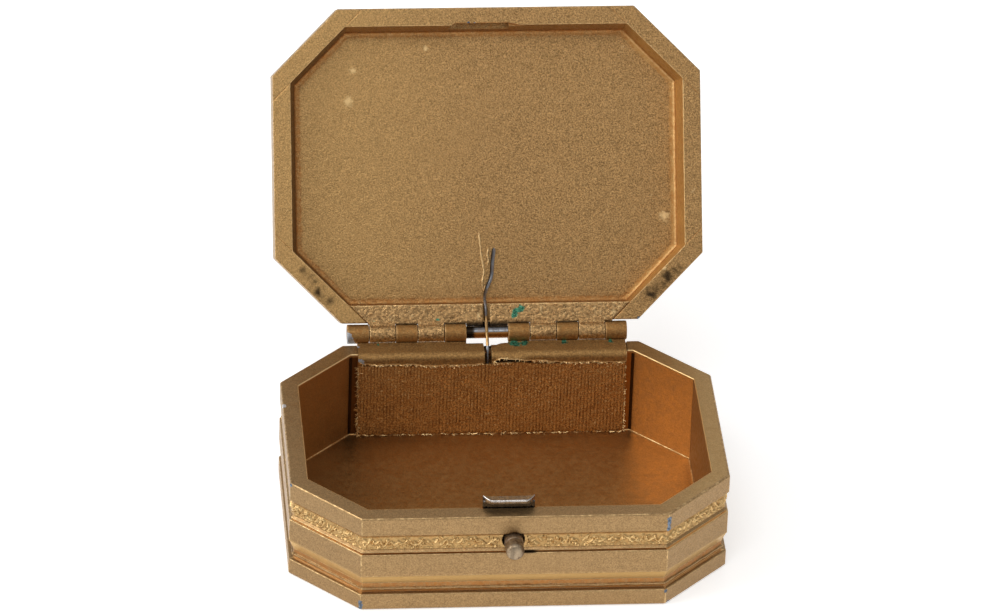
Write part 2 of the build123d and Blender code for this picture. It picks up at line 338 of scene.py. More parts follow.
# ---------------------------------------------------------------- materials
class Graph:
    """Short way to write node trees."""

    def __init__(self, name):
        self.material = bpy.data.materials.new(name)
        self.material.use_nodes = True
        self.tree = self.material.node_tree
        self.tree.nodes.clear()
        self.place = self.node("ShaderNodeTexCoord").outputs["Object"]

    def feed(self, socket, value):
        if isinstance(value, bpy.types.NodeSocket):
            self.tree.links.new(value, socket)
        else:
            socket.default_value = value

    def node(self, kind, inputs=None, **props):
        n = self.tree.nodes.new(kind)
        for key, value in props.items():
            setattr(n, key, value)
        for key, value in (inputs or {}).items():
            self.feed(n.inputs[key], value)
        return n

    def grain(self, size, detail=2.0, rough=0.5, stretch=None, warp=0.0):
        """Noise with features of that size in mm, from 0 to 1."""
        place = self.place
        if stretch:
            place = self.node("ShaderNodeMapping", {"Vector": place, "Scale": stretch}).outputs[0]
        return self.node("ShaderNodeTexNoise", {
            "Vector": place, "Scale": 1000.0 / size, "Detail": detail,
            "Roughness": rough, "Distortion": warp}).outputs["Fac"]

    def mark(self, name):
        return self.node("ShaderNodeAttribute", attribute_name=name).outputs["Fac"]

    def math(self, op, a, b=0.0):
        return self.node("ShaderNodeMath", {0: a, 1: b}, operation=op).outputs[0]

    def step(self, value, lo, hi, out0=0.0, out1=1.0):
        """Value mapped smoothly from lo..hi to out0..out1."""
        return self.node("ShaderNodeMapRange", {
            "Value": value, "From Min": lo, "From Max": hi, "To Min": out0, "To Max": out1},
            interpolation_type="SMOOTHSTEP").outputs[0]

    def mix(self, fac, a, b):
        n = self.node("ShaderNodeMix", data_type="RGBA")
        for key, value in (("Factor", fac), (6, a), (7, b)):
            self.feed(n.inputs[key], (*value, 1.0) if isinstance(value, tuple) else value)
        return n.outputs[2]

    def cover(self, colour, value, lo, hi, top, most=1.0):
        """The colour, covered by top as the value goes from lo to hi."""
        return self.mix(self.step(value, lo, hi, 0.0, most), colour, top)

    def bump(self, height, depth_mm, strength=1.0):
        return self.node("ShaderNodeBump", {
            "Height": height, "Distance": depth_mm * 0.001, "Strength": strength}).outputs[0]

    def surface(self, colour, roughness, normal, metallic, **extra):
        bsdf = self.node("ShaderNodeBsdfPrincipled", {
            "Base Color": colour, "Roughness": roughness, "Normal": normal,
            "Metallic": metallic, **extra})
        out = self.node("ShaderNodeOutputMaterial")
        self.tree.links.new(bsdf.outputs[0], out.inputs[0])
        return self.material


def scaled(colour, share):
    return tuple(min(1.0, c * share) for c in colour)


GOLD = (0.410, 0.246, 0.100)
GOLD_LIGHT = (0.780, 0.540, 0.260)
GOLD_DARK = (0.160, 0.080, 0.028)
GOLD_RED = (0.40, 0.155, 0.034)
GOLD_PAINTED_SHEEN = (0.680, 0.435, 0.160)
BARE = (0.210, 0.260, 0.330)
SILVER = (0.640, 0.630, 0.640)
SOOT_AND_SHADE = (0.018, 0.011, 0.006)
GREEN, GREEN_LIGHT = (0.050, 0.190, 0.110), (0.10, 0.36, 0.22)


def gilt(name, grain_mm=0.22, contrast=0.5, rough=0.42, depth=0.010, base=GOLD, streak=0.0):
    """Gold-bronze paint over cast metal: flakes, patches, worn edges and painted highlights, dirt
    and painted shade, painted sheen, and chips.
    """
    g = Graph(name)
    fine = g.grain(grain_mm, 3.0, 0.65)
    mid = g.grain(1.3, 4.0, 0.55)
    big = g.grain(9.0, 3.0, 0.5)
    dark, light = scaled(base, 1 - 0.60 * contrast), scaled(base, 1 + 0.70 * contrast)
    colour = g.mix(g.step(fine, 0.28, 0.72), dark, light)
    colour = g.cover(colour, mid, 0.52, 0.80, GOLD_DARK, 0.30 * contrast)
    colour = g.cover(colour, big, 0.45, 0.75, scaled(base, 1.12), 0.25)
    pits = g.grain(0.35, 1.0, 0.4, warp=0.6)
    colour = g.cover(colour, pits, 0.68, 0.76, GOLD_DARK, 0.55 * contrast)
    flakes = g.grain(grain_mm * 0.7, 1.0, 0.4)
    colour = g.cover(colour, flakes, 0.66, 0.74, GOLD_LIGHT, 0.60 * contrast)
    if streak:
        lines = g.grain(1.2, 2.0, 0.6, stretch=(0.22, 1.0, 2.6))
        colour = g.cover(colour, lines, 0.52, 0.74, GOLD_DARK, streak)

    wear = g.mark("wear")
    ragged = g.math("MULTIPLY_ADD", g.grain(0.5, 3.0, 0.6), 0.9)
    ragged.node.inputs[2].default_value = -0.45

    def frayed(mark, width, most=1.0):
        """A mark with a ragged outline."""
        return g.math("ADD", mark, g.math("MULTIPLY", ragged, g.step(mark, 0.0, width, 0.0, most)))

    # the wear mark also paints highlights, the sheen mark paints light, and the dirt and soot marks
    # also paint shade
    colour = g.cover(colour, frayed(wear, 0.3), 0.30, 0.75, GOLD_LIGHT)
    colour = g.mix(g.mark("painted_sheen"), colour, GOLD_PAINTED_SHEEN)
    colour = g.cover(colour, frayed(g.mark("dirt"), 0.4), 0.25, 0.95, GOLD_RED, 0.85)
    colour = g.cover(colour, g.mark("soot"), 0.05, 0.9, SOOT_AND_SHADE)
    bare = g.step(frayed(g.mark("chip"), 0.25), 0.36, 0.46)
    metal = g.mix(g.step(g.grain(0.28, 3.0, 0.6), 0.35, 0.65), scaled(BARE, 0.35), BARE)
    colour = g.mix(bare, colour, g.mix(g.mark("silver"), metal, SILVER))
    copper = g.step(frayed(g.mark("green"), 0.25, 1.6), 0.36, 0.60)
    crust = g.mix(g.step(g.grain(0.30, 3.0, 0.7), 0.38, 0.62), scaled(GREEN, 0.4), GREEN_LIGHT)
    colour = g.mix(copper, colour, crust)
    height = g.math("ADD", g.math("MULTIPLY", fine, 1.0), g.math("MULTIPLY", mid, 0.8))
    height = g.math("SUBTRACT", height, g.math("MULTIPLY", bare, 1.2))
    normal = g.bump(height, depth * 2.2, 0.9)
    roughness = g.step(g.grain(0.6, 3.0, 0.5), 0.25, 0.75, rough - 0.09, rough + 0.11)
    return g.surface(colour, roughness, normal, 0.92)


def steel(name, base, rough=0.3, stain=(0.20, 0.11, 0.05), stained=0.35):
    """Old spring steel: dark, blued in places, brown stains and fine scratches."""
    g = Graph(name)
    lines = g.grain(0.5, 4.0, 0.6, stretch=(1.0, 0.15, 0.15))
    mid = g.grain(0.9, 4.0, 0.6)
    colour = g.mix(g.step(lines, 0.3, 0.7), scaled(base, 0.7), scaled(base, 1.25))
    colour = g.cover(colour, mid, 0.48, 0.62, stain, stained)
    # the gold and red marks also paint the reflection of the gilt case on the pin, the silver mark
    # a highlight on the wire, and the dark mark painted shade
    gold = g.mark("paint")
    ragged = g.math("ADD", gold, g.math("MULTIPLY", g.grain(0.35, 3.0, 0.6), 0.6))
    colour = g.cover(colour, ragged, 0.55, 0.75, GOLD)
    colour = g.cover(colour, g.mark("dirt"), 0.1, 0.9, GOLD_RED)
    colour = g.cover(colour, g.mark("silver"), 0.2, 1.0, SILVER)
    colour = g.cover(colour, g.mark("soot"), 0.05, 0.95, SOOT_AND_SHADE)
    normal = g.bump(g.math("ADD", lines, mid), 0.012, 0.8)
    roughness = g.step(mid, 0.3, 0.7, rough - 0.08, rough + 0.15)
    return g.surface(colour, roughness, normal, 0.95)


def cloth(name):
    """Ribbed cloth soaked in gold paint, darker between the ribs as painted shade."""
    g = Graph(name)
    fine = g.grain(0.16, 3.0, 0.65)
    mid = g.grain(1.6, 3.0, 0.5)
    colour = g.mix(g.step(fine, 0.36, 0.66), (0.27, 0.110, 0.027), (0.80, 0.43, 0.140))
    colour = g.cover(colour, mid, 0.40, 0.75, (0.28, 0.115, 0.030), 0.30)
    colour = g.cover(colour, g.mark("dirt"), 0.2, 1.0, (0.10, 0.033, 0.007), 0.85)
    colour = g.cover(colour, g.mark("wear"), 0.3, 1.0, GOLD_LIGHT, 0.9)
    normal = g.bump(fine, 0.03, 0.8)
    return g.surface(colour, g.step(fine, 0.2, 0.8, 0.62, 0.42), normal, 0.72)


mats = {
    "case": gilt("gilt_case", 0.20, 0.42, 0.40, 0.010, (0.345, 0.216, 0.097), streak=0.15),
    "inside": gilt("gilt_inside", 0.22, 0.22, 0.40, 0.003, (0.45, 0.240, 0.084), streak=0.14),
    "lid": gilt("gilt_lid", 0.20, 0.85, 0.42, 0.040, (0.378, 0.220, 0.086)),
    "leaf": gilt("gilt_leaf", 0.36, 0.80, 0.30, 0.100, (0.420, 0.250, 0.104)),
    "band": gilt("gilt_band", 0.22, 0.60, 0.58, 0.030, (0.335, 0.186, 0.064)),
    "steel": steel("old_steel", (0.23, 0.235, 0.25)),
    "hook": steel("hook_steel", (0.46, 0.43, 0.41), 0.16, (0.26, 0.17, 0.10), 0.4),
    "button": steel("button_steel", (0.33, 0.25, 0.165), 0.44, (0.15, 0.085, 0.04), 0.75),
    "cloth": cloth("gilt_cloth"),
    "thread": gilt("gilt_thread", 0.15, 0.6, 0.38, 0.008, GOLD_LIGHT),
}


# ---------------------------------------------------------------- case shell
def case_stations(i, length):
    """Where the outline's side i is cut into points, closer where it carries detail."""
    end = length / 2 - ROUND
    if i == 1:
        return spaced(-end, (-18.95, 0.05, 1.05, 18.75), end, (13, 148, 8, 138, 14))
    if i == 5:
        return spaced(-end, (-4.6, 2.95), end, (122, 58, 136))
    return np.linspace(-end, end, 90 if i % 2 == 0 else 160)


def frieze_strokes(period):
    """Chased frieze: slanting leaf strokes, small pebbles and a scalloped foot."""
    rng = np.random.default_rng(11)
    items = []
    at, lean = 0.3, 1
    while at < period - 0.4:
        lean = -lean if rng.random() < 0.6 else lean
        ang = math.radians(90 + lean * rng.uniform(10, 62))
        items.append((at, 10.65 + rng.uniform(-0.25, 0.25), ang, rng.uniform(0.30, 0.72),
                      rng.uniform(0.10, 0.17), rng.uniform(0.24, 0.44),
                      lean * rng.uniform(-0.2, 0.6)))
        if rng.random() < 0.5:
            items.append((at + rng.uniform(0.2, 0.5), rng.uniform(10.0, 11.2), ang + lean * 0.9,
                          rng.uniform(0.2, 0.4), 0.11, rng.uniform(0.2, 0.36), 0.0))
        at += rng.uniform(0.40, 1.15)
    at = 0.0
    while at < period:
        size = rng.uniform(0.10, 0.24)
        items.append((at, rng.uniform(9.7, 11.4), rng.uniform(0, 3.1), size,
                      size * rng.uniform(0.6, 1), rng.uniform(0.14, 0.38), 0.0))
        at += rng.uniform(0.12, 0.36)
    at = 0.0
    while at < period:
        items.append((at, 9.72, 0.0, 0.30, 0.12, rng.uniform(0.10, 0.24), 0.5))
        at += rng.uniform(0.75, 1.1)
    return items


def build_case_shell():
    def step(z):
        return 0.085 if 9.0 < z < 12.1 else 0.09 if 2.5 < z < 3.5 else 0.30

    rows = [(inset, 0.0) for inset in (WALL, 1.4, 0.45, 0.32)]
    rows += [(inset, z) for z, inset in rounded_profile(MOULDING, 0.07, step)]
    rim_at = len(rows) - 1
    rows += [(inset, CASE_H) for inset in (0.22, 0.40, 0.70, 1.00, 1.299, 1.301, 1.70, 2.05,
                                           2.32, 2.40)]
    rows += [(2.46, CASE_H - 0.03), (WALL, CASE_H - 0.10)]
    inner_at = len(rows)
    rows += [(WALL, z) for z in (14.5, 14.2, 13.9, 13.5, 13.001, 12.999, 12.4, 11.0, 9.5, 8.0, 6.6,
                                 5.601, 5.599, 4.4, 3.2, 2.2, 1.75, 1.501, 1.499, 0.8, 0.0)]
    rings = np.array([at_height(loop(octagon(inset), ROUND, case_stations), z)
                      for inset, z in rows])
    reference = loop(octagon(0.5), ROUND, case_stations)
    u = lengths(reference)
    period = u[-1] + np.linalg.norm(reference[0] - reference[-1])
    out = outward(reference)

    # seats for the hinge leaves, slot for the wire and pocket for the catch
    x, y = rings[0, :, 0], rings[0, :, 1]
    back = (y > 19.4) & (np.abs(x) < 19.5)
    front = (y < -19.4) & (np.abs(x) < 19.5)
    seat = back & (x > LEAF_X0 - 0.051) & (x < LEAF_X1 + 0.051)
    slot = back & (x > SLOT_X0 - 0.001) & (x < SLOT_X1 + 0.001)
    pocket = front & (x > CATCH_X0 - 0.251) & (x < CATCH_X1 + 0.251)
    for k, (inset, z) in enumerate(rows):
        ring = rings[k]
        if k >= rim_at - 3 and z > FLOOR_T:
            ring[seat, 2] = np.minimum(ring[seat, 2], CASE_H - LEAF_T - 0.02)
            ring[slot, 2] = np.minimum(ring[slot, 2], 13.9 if inset < 1.3 else 12.4)
        if k >= inner_at and 5.6 < z < 13.0:
            ring[slot, 1] = HALF_D - WALL + 0.7
        if k > rim_at and z > FLOOR_T and inset > 2.15:
            ring[pocket, 1] = CATCH_Y - 0.2

    # relief: the frieze, smooth round the button, and the rough bead in the groove
    ring_x, z_all = rings[:, :, 0], rings[:, :, 2]
    field, bead = (np.array([lo < r[1] < hi and k < rim_at for k, r in enumerate(rows)])
                   for lo, hi in ((9.3, 11.95), (2.9, 3.45)))
    relief = np.zeros(z_all.shape)
    relief[field] = strokes(np.broadcast_to(u, z_all[field].shape), z_all[field],
                            frieze_strokes(period), period)
    fade = smooth((z_all - 9.45) / 0.2) * smooth((11.85 - z_all) / 0.25)
    near_hole = (y[None] < 0) & (np.hypot(ring_x - BUTTON_X, z_all - BUTTON_Z) < 2.0)
    relief = relief * fade * np.where(near_hole, 0.15, 1.0)
    relief[field] += 0.03 * noise(rings[field], 0.35, 5) * fade[field]
    relief[bead] += 0.05 * noise(rings[bead], 0.30, 6) + 0.05 * noise(rings[bead], 0.9, 7)

    # unevenness of the painted faces; hand-filed fillets wander a little up and down
    order = np.arange(len(rows))[:, None]
    outside, inside = order <= rim_at + 1, order > inner_at
    wobble = 0.014 * noise(rings, 2.6, 8) + 0.006 * noise(rings, 0.8, 9)
    relief += np.where(outside, np.minimum(wobble, 0.0) - 0.002, 0.0)
    push = np.where(outside, relief, 0.0) + np.where(inside, 0.02 * noise(rings, 3.0, 10), 0.0)
    lift = np.where(outside, 0.030 * noise(rings * np.array((1, 1, 0.05)), 5.0, 12), 0.0)
    lift *= smooth((z_all - 1.0) / 1.0) * smooth((14.0 - z_all) / 1.0)
    rings[:, :, :2] += out[None] * push[..., None]
    rings[:, :, 2] += lift

    def band(z0, z1):
        return (z_all > z0) & (z_all < z1) & outside

    # worn edges and crests
    marks = Marks(z_all.shape)
    for z, amount in ((2.42, 0.55), (5.42, 0.62), (8.84, 0.55), (9.17, 0.85), (12.02, 0.55),
                      (0.22, 0.4)):
        marks.most("wear", np.exp(-((z_all - lift - z) / 0.07) ** 2) * amount, outside)
    marks["wear"][rim_at - 1:rim_at + 2] = 0.42
    marks["wear"][inner_at - 3:inner_at] = 0.85
    marks.most("wear", np.clip((relief - 0.10) * 5.0 + 0.25, 0, 0.9) * field[:, None])
    marks.most("wear", np.clip(relief * 7 - 0.15, 0, 0.8) * bead[:, None])
    corner_line = np.max([np.exp(-(np.hypot(x - cx, y - cy) / 0.20) ** 2)
                          for cx, cy in octagon(WALL)], 0)
    marks.most("wear", 0.50 * corner_line[None], outside)
    chamfer = (np.abs(x) + np.abs(y) > CORNER_SUM - WALL * ROOT2 - 0.05)[None] & outside
    # painted highlights: bright lines on the chamfers under the frieze and above the base, and
    # along the flanks' cove edge, where those faces catch the light
    under_frieze = band(8.88, 9.14)
    marks.most("wear", 0.8, under_frieze & chamfer)
    marks.most("wear", 0.75, chamfer & (z_all > 2.55) & (z_all < 2.85))
    flank = (np.abs(y) < HALF_D - 2.6)[None] & outside
    marks.most("wear", 0.55, flank & (z_all > 3.98) & (z_all < 4.25))

    # painted sheen: brighter paint standing in for light on the frieze, the cove, the flanks and
    # towards the right of the rim
    marks.most("painted_sheen", 0.42 * fade, outside)
    marks.most("painted_sheen", 0.75 * smooth((z_all - 3.95) / 0.3) * smooth((5.5 - z_all) / 0.2), outside)
    lit = smooth((z_all - 3.9) / 0.3) * smooth((5.6 - z_all) / 0.3)
    marks.most("painted_sheen", lit * (0.75 + 0.35 * noise(rings, 1.4, 13)), flank)
    marks.most("painted_sheen", 0.32 * smooth((ring_x - 14.0) / 14.0),
               (order > rim_at + 1) & (z_all > CASE_H - 0.2))

    # darker, redder paint in the grooves and between the frieze strokes; painted shade in the
    # groove under the frieze, beside the button, on the front-left chamfer and on the bare wall
    # behind the cloth; chips at the corners
    for z0, z1, amount in ((2.62, 2.95, 0.8), (3.35, 3.98, 0.7), (8.94, 9.12, 0.9),
                           (9.35, 9.62, 0.35)):
        marks.most("dirt", amount, band(z0, z1))
    marks.most("dirt", np.clip(0.5 - relief * 3.0, 0, 0.4) * field[:, None])
    marks.most("soot", 0.22, under_frieze & ~chamfer)
    shadow = smooth((ring_x - BUTTON_X - 1.2) / 0.4) * smooth((BUTTON_X + 4.0 - ring_x) / 1.5)
    marks.most("soot", 0.75 * shadow, band(8.80, 9.25) & (y < 0)[None])
    marks.most("soot", 0.22, chamfer & (x < 0)[None] & (y < 0)[None])
    behind = inside & (rings[:, :, 1] > 19.2) & (z_all > FLOOR_T)
    bare_left, bare_right = behind & (ring_x < -18.75), behind & (ring_x > 18.9)
    marks.put("dirt", 1.0, bare_left | bare_right)
    marks.put("soot", 0.55, bare_left)
    marks.put("soot", 0.75, behind & (np.abs(ring_x) > 19.55))
    marks.put("soot", 0.9, behind & (z_all > 12.0) & (np.abs(ring_x - 2.8) < 2.8))
    marks["chip"] = near(rings, [(20.9, -21.9, z, 0.62) for z in (13.9, 13.3, 12.7, 12.1, 11.6)]
                         + [(-20.8, -21.9, z, 0.55) for z in (0.3, 0.8, 1.3)]
                         + [(20.8, -21.9, 2.2, 0.45), (-29.9, 6.6, 14.7, 0.7),
                            (-29.9, -12.9, 14.5, 0.45), (30.0, 12.75, 13.0, 0.7),
                            (12.0, 21.95, 0.2, 0.7), (21.2, -21.6, 0.2, 0.5)])
    marks["silver"] = np.clip(near(rings, [(-29.9, 6.6, 14.7, 1.2)]) * 2, 0, 1)

    faces = ring_faces(*rings.shape[:2], wrap_rows=True)
    shell = make("case_shell", rings, faces, None, mats["case"], marks=marks)
    shell.data.materials.append(mats["inside"])
    # the inside walls take the smoother inside paint
    for p in shell.data.polygons:
        cx, cy, cz = p.center * 1000
        w, d = abs(cx), abs(cy)
        within = w < HALF_W - 2.4 and d < HALF_D - 2.4 and w + d < CORNER_SUM - 2.4 * ROOT2
        if within and cz < CASE_H - 0.05:
            p.material_index = 1
    drill(shell, BUTTON_X, BUTTON_Z, HOLE_R, -25.0)
    for x in RIVET_XS:
        drill(shell, x, RIVET_Z, RIVET_R + 0.02, -HALF_D + 0.9)
    finish_piece(shell, "case", ["case_frame"])


def drill(obj, x, z, radius, y0):
    """Cuts a round hole along Y, from y0 into the case."""
    ring = np.stack([x + radius * np.cos(circle(72)), z + radius * np.sin(circle(72))], 1)
    points, faces = lofted([np.insert(ring, 1, y, axis=1) for y in (y0, -18.0)])
    tool = make("drill", points, faces, None, mats["steel"])
    cut = obj.modifiers.new("cut", "BOOLEAN")
    cut.operation, cut.object, cut.solver = "DIFFERENCE", tool, "EXACT"
    depsgraph = bpy.context.evaluated_depsgraph_get()
    mesh = bpy.data.meshes.new_from_object(obj.evaluated_get(depsgraph), depsgraph=depsgraph)
    obj.modifiers.clear()
    old, obj.data = obj.data, mesh
    bpy.data.meshes.remove(old)
    bpy.data.objects.remove(tool)


build_case_shell()


def floor_stations(i, length):
    """The case's stations, shrunk to shorter sides."""
    w, d, c = HALF_W - WALL, HALF_D - WALL, CORNER - WALL * (2 - ROOT2)
    full = c * ROOT2 if i % 2 == 0 else 2 * (w - c) if i in (1, 5) else 2 * (d - c)
    return case_stations(i, full) * (length - 2 * ROUND) / (full - 2 * ROUND)


def build_case_floor():
    """Smooth inside floor with a paint fillet where it meets the walls."""
    rings = [(WALL, 0.0), (2.5, FLOOR_T + 0.12), (2.52, FLOOR_T + 0.09), (2.62, FLOOR_T + 0.035),
             (2.75, FLOOR_T + 0.01)]
    rings += [(inset, FLOOR_T) for inset in (2.95, 3.2, *np.linspace(3.7, 11.0, 16))]
    rows = [at_height(loop(octagon(inset), ROUND, floor_stations), z) for inset, z in rings]
    middle = loop(octagon(11.0), ROUND, floor_stations)
    rows = np.array(rows + [at_height(middle * share, FLOOR_T) for share in (0.75, 0.5, 0.25)])
    rows[2:, :, 2] += 0.03 * noise(rows[2:] * FLAT, 7.0, 21) \
        + 0.008 * noise(rows[2:] * FLAT, 2.0, 22)
    rows[2:, :, 2] = np.minimum(rows[2:, :, 2], FLOOR_T + 0.15)
    marks = Marks(rows.shape[:2])
    # painted highlight: a bright line along the fillet where the floor meets the walls
    marks["wear"][0:4] = 0.75 * (0.6 + 0.4 * noise(rows[0:4], 1.2, 23))
    x, y = rows[:, :, 0], rows[:, :, 1]
    # painted shade: the floor darker towards the left and the back, with faint streaks, kept off
    # the fillet
    shade = 0.36 * smooth((-x - 4.0) / 22.0) + 0.20 * smooth((y - 12.0) / 6.5)
    shade += 0.10 * np.clip(noise(rows * np.array((0.25, 1, 0)), 2.2, 24), 0, 1)
    shade[0:4] = 0
    marks["soot"] = shade
    rng = np.random.default_rng(29)
    specks = [(rng.uniform(-20, 22), rng.uniform(-15, 15), FLOOR_T, 0.16) for _ in range(26)]
    marks["wear"][6:] = np.maximum(marks["wear"][6:], 0.8 * near(rows[6:], specks))
    make("case_floor_plate", *lofted(rows), "case", mats["inside"], ["case_floor"], "gilt_metal",
         marks=marks)


build_case_floor()


# ---------------------------------------------------------------- lid shell
JOINT_W = 0.07


def lid_stations(inset):
    """Stations for one ring of the lid: extra ones follow the joints of the rim bars."""
    joint = ROOT2 * (WALL - min(max(inset, 0.0), WALL))

    def stations(i, length):
        end = length / 2 - ROUND
        if i % 2 == 0:
            return np.linspace(-end, end, 66)
        at = length / 2 - max(joint, ROUND + 2.2 * JOINT_W)
        first = np.linspace(-end, -at - JOINT_W, 14)
        inner = at - JOINT_W
        if i == 1:
            mid = spaced(-inner, (-0.05, 1.15), inner, (92, 8, 88))
        elif i == 5:
            mid = spaced(-inner, (-4.85, 3.2), inner, (68, 46, 74))
        else:
            mid = np.linspace(-inner, inner, 104)
        return np.concatenate([first, [-at], mid, [at], -first[::-1]])
    return stations


def lip_edge(x):
    """How far the front rim's inner edge is scooped out at x."""
    return 0.33 * smooth((x + 4.95) / 0.6) * smooth((5.2 - x) / 2.4)


# chased field of the sunk oval, between these two ellipses
FIELD_IN, FIELD_OUT = (11.85, 7.25), (20.98, 12.68)


def lid_rings(phi):
    """Rings of the lid from the middle of its top over the edge to the middle of its
    inside, and the kind of surface that each one lies on."""
    rings, kinds = [], []

    def add(kind, *new):
        rings.extend(new)
        kinds.extend([kind] * len(new))

    def outline(inset, z, stations_at=None):
        at = inset if stations_at is None else stations_at
        return at_height(loop(octagon(inset), ROUND, lid_stations(at)), z)

    low = LID_TOP - OVAL_DEPTH
    (a0, b0), (a1, b1) = FIELD_IN, FIELD_OUT
    add("field", *(at_height(ellipse(9.5 + k, 5.4 + k * 0.8, phi), low) for k in range(3)))
    add("field", *(at_height(ellipse(a0 + t * (a1 - a0), b0 + t * (b1 - b0), phi), low)
                   for t in np.linspace(0, 1, 66)))
    # oval wall: slope with one fine step, then a softened lip
    a, b = OVAL_A - OVAL_SLOPE, OVAL_B - OVAL_SLOPE
    for out_by, z in ((0.03, 0.03), (0.18, 0.14), (0.36, 0.25), (0.40, 0.24), (0.47, 0.235),
                      (0.52, 0.30), (0.66, 0.42), (0.80, 0.50), (0.87, 0.545), (0.93, 0.565),
                      (1.02, 0.57), (1.12, 0.555), (1.25, 0.55)):
        add("oval", at_height(ellipse(a + out_by, b + out_by, phi), low + z))
    start, target = rings[-1].copy(), outline(0.22, LID_TOP)
    add("top", *(start + (target - start) * t for t in np.linspace(0.04, 1.0, 26)))
    add("edge", *(outline(inset, LID_TOP - drop, 0.0)
                  for inset, drop in ((0.15, 0.0), (0.07, 0.03), (0.02, 0.08), (0.0, 0.16))))
    add("side", *(outline(0.0, z) for z in np.linspace(LID_TOP - 0.45, LID_Z0 + 0.35, 14)))
    add("edge", *(outline(inset, LID_Z0 + rise, 0.0)
                  for inset, rise in ((0.0, 0.12), (0.02, 0.06), (0.06, 0.02), (0.10, 0.0))))
    add("rim", *(outline(inset, LID_Z0)
                 for inset in (0.25, 0.45, 0.75, 1.05, 1.35, 1.65, 1.95, 2.2, 2.36, 2.42)))
    add("lip", outline(2.47, LID_Z0 + 0.02))
    add("wall", *(outline(WALL + dz * DRAFT, LID_Z0 + dz)
                  for dz in (0.08, 0.25, 0.5, 0.719, 0.721, 1.0, 1.299, 1.301, 1.7, 2.1, 2.299,
                             2.301, 2.7, 3.1, 3.4)))
    add("fillet", *(outline(inset, LID_Z0 + dz)
                    for inset, dz in ((3.20, 3.56), (3.26, 3.68), (3.35, 3.79), (3.48, 3.87),
                                      (3.66, 3.925), (3.9, 3.945))))
    add("floor", *(outline(inset, PANEL_Z0)
                   for inset in (*np.linspace(4.1, 6.2, 9), *np.linspace(6.7, 12.0, 12))))
    add("floor", *(rings[-1] * (share, share, 1) for share in (0.8, 0.6, 0.4, 0.2)))
    return np.array(rings), np.array(kinds)


def chasing(arc, period, width):
    """Strokes and pebbles of the sunk oval, in rings along its length."""
    rng = np.random.default_rng(23)
    items = []
    at = 0.0
    while at < period:
        reach = width[int(np.searchsorted(arc, at) % len(arc))]
        for ring_at in np.arange(0.9, reach - 0.4, 1.35):
            if rng.random() < 0.85:
                items.append((at + rng.uniform(-0.25, 0.25), ring_at + rng.uniform(-0.35, 0.35),
                              math.pi / 2 + rng.normal(0, 0.35), rng.uniform(0.35, 0.85),
                              rng.uniform(0.10, 0.17), rng.uniform(0.16, 0.34),
                              rng.normal(0, 0.25)))
            if rng.random() < 0.7:
                items.append((at + rng.uniform(-0.4, 0.4), ring_at + rng.uniform(-0.6, 0.6),
                              rng.uniform(0, 3.1), rng.uniform(0.10, 0.24),
                              rng.uniform(0.09, 0.15), rng.uniform(0.12, 0.25), 0.0))
        at += rng.uniform(0.62, 0.95)
    return items


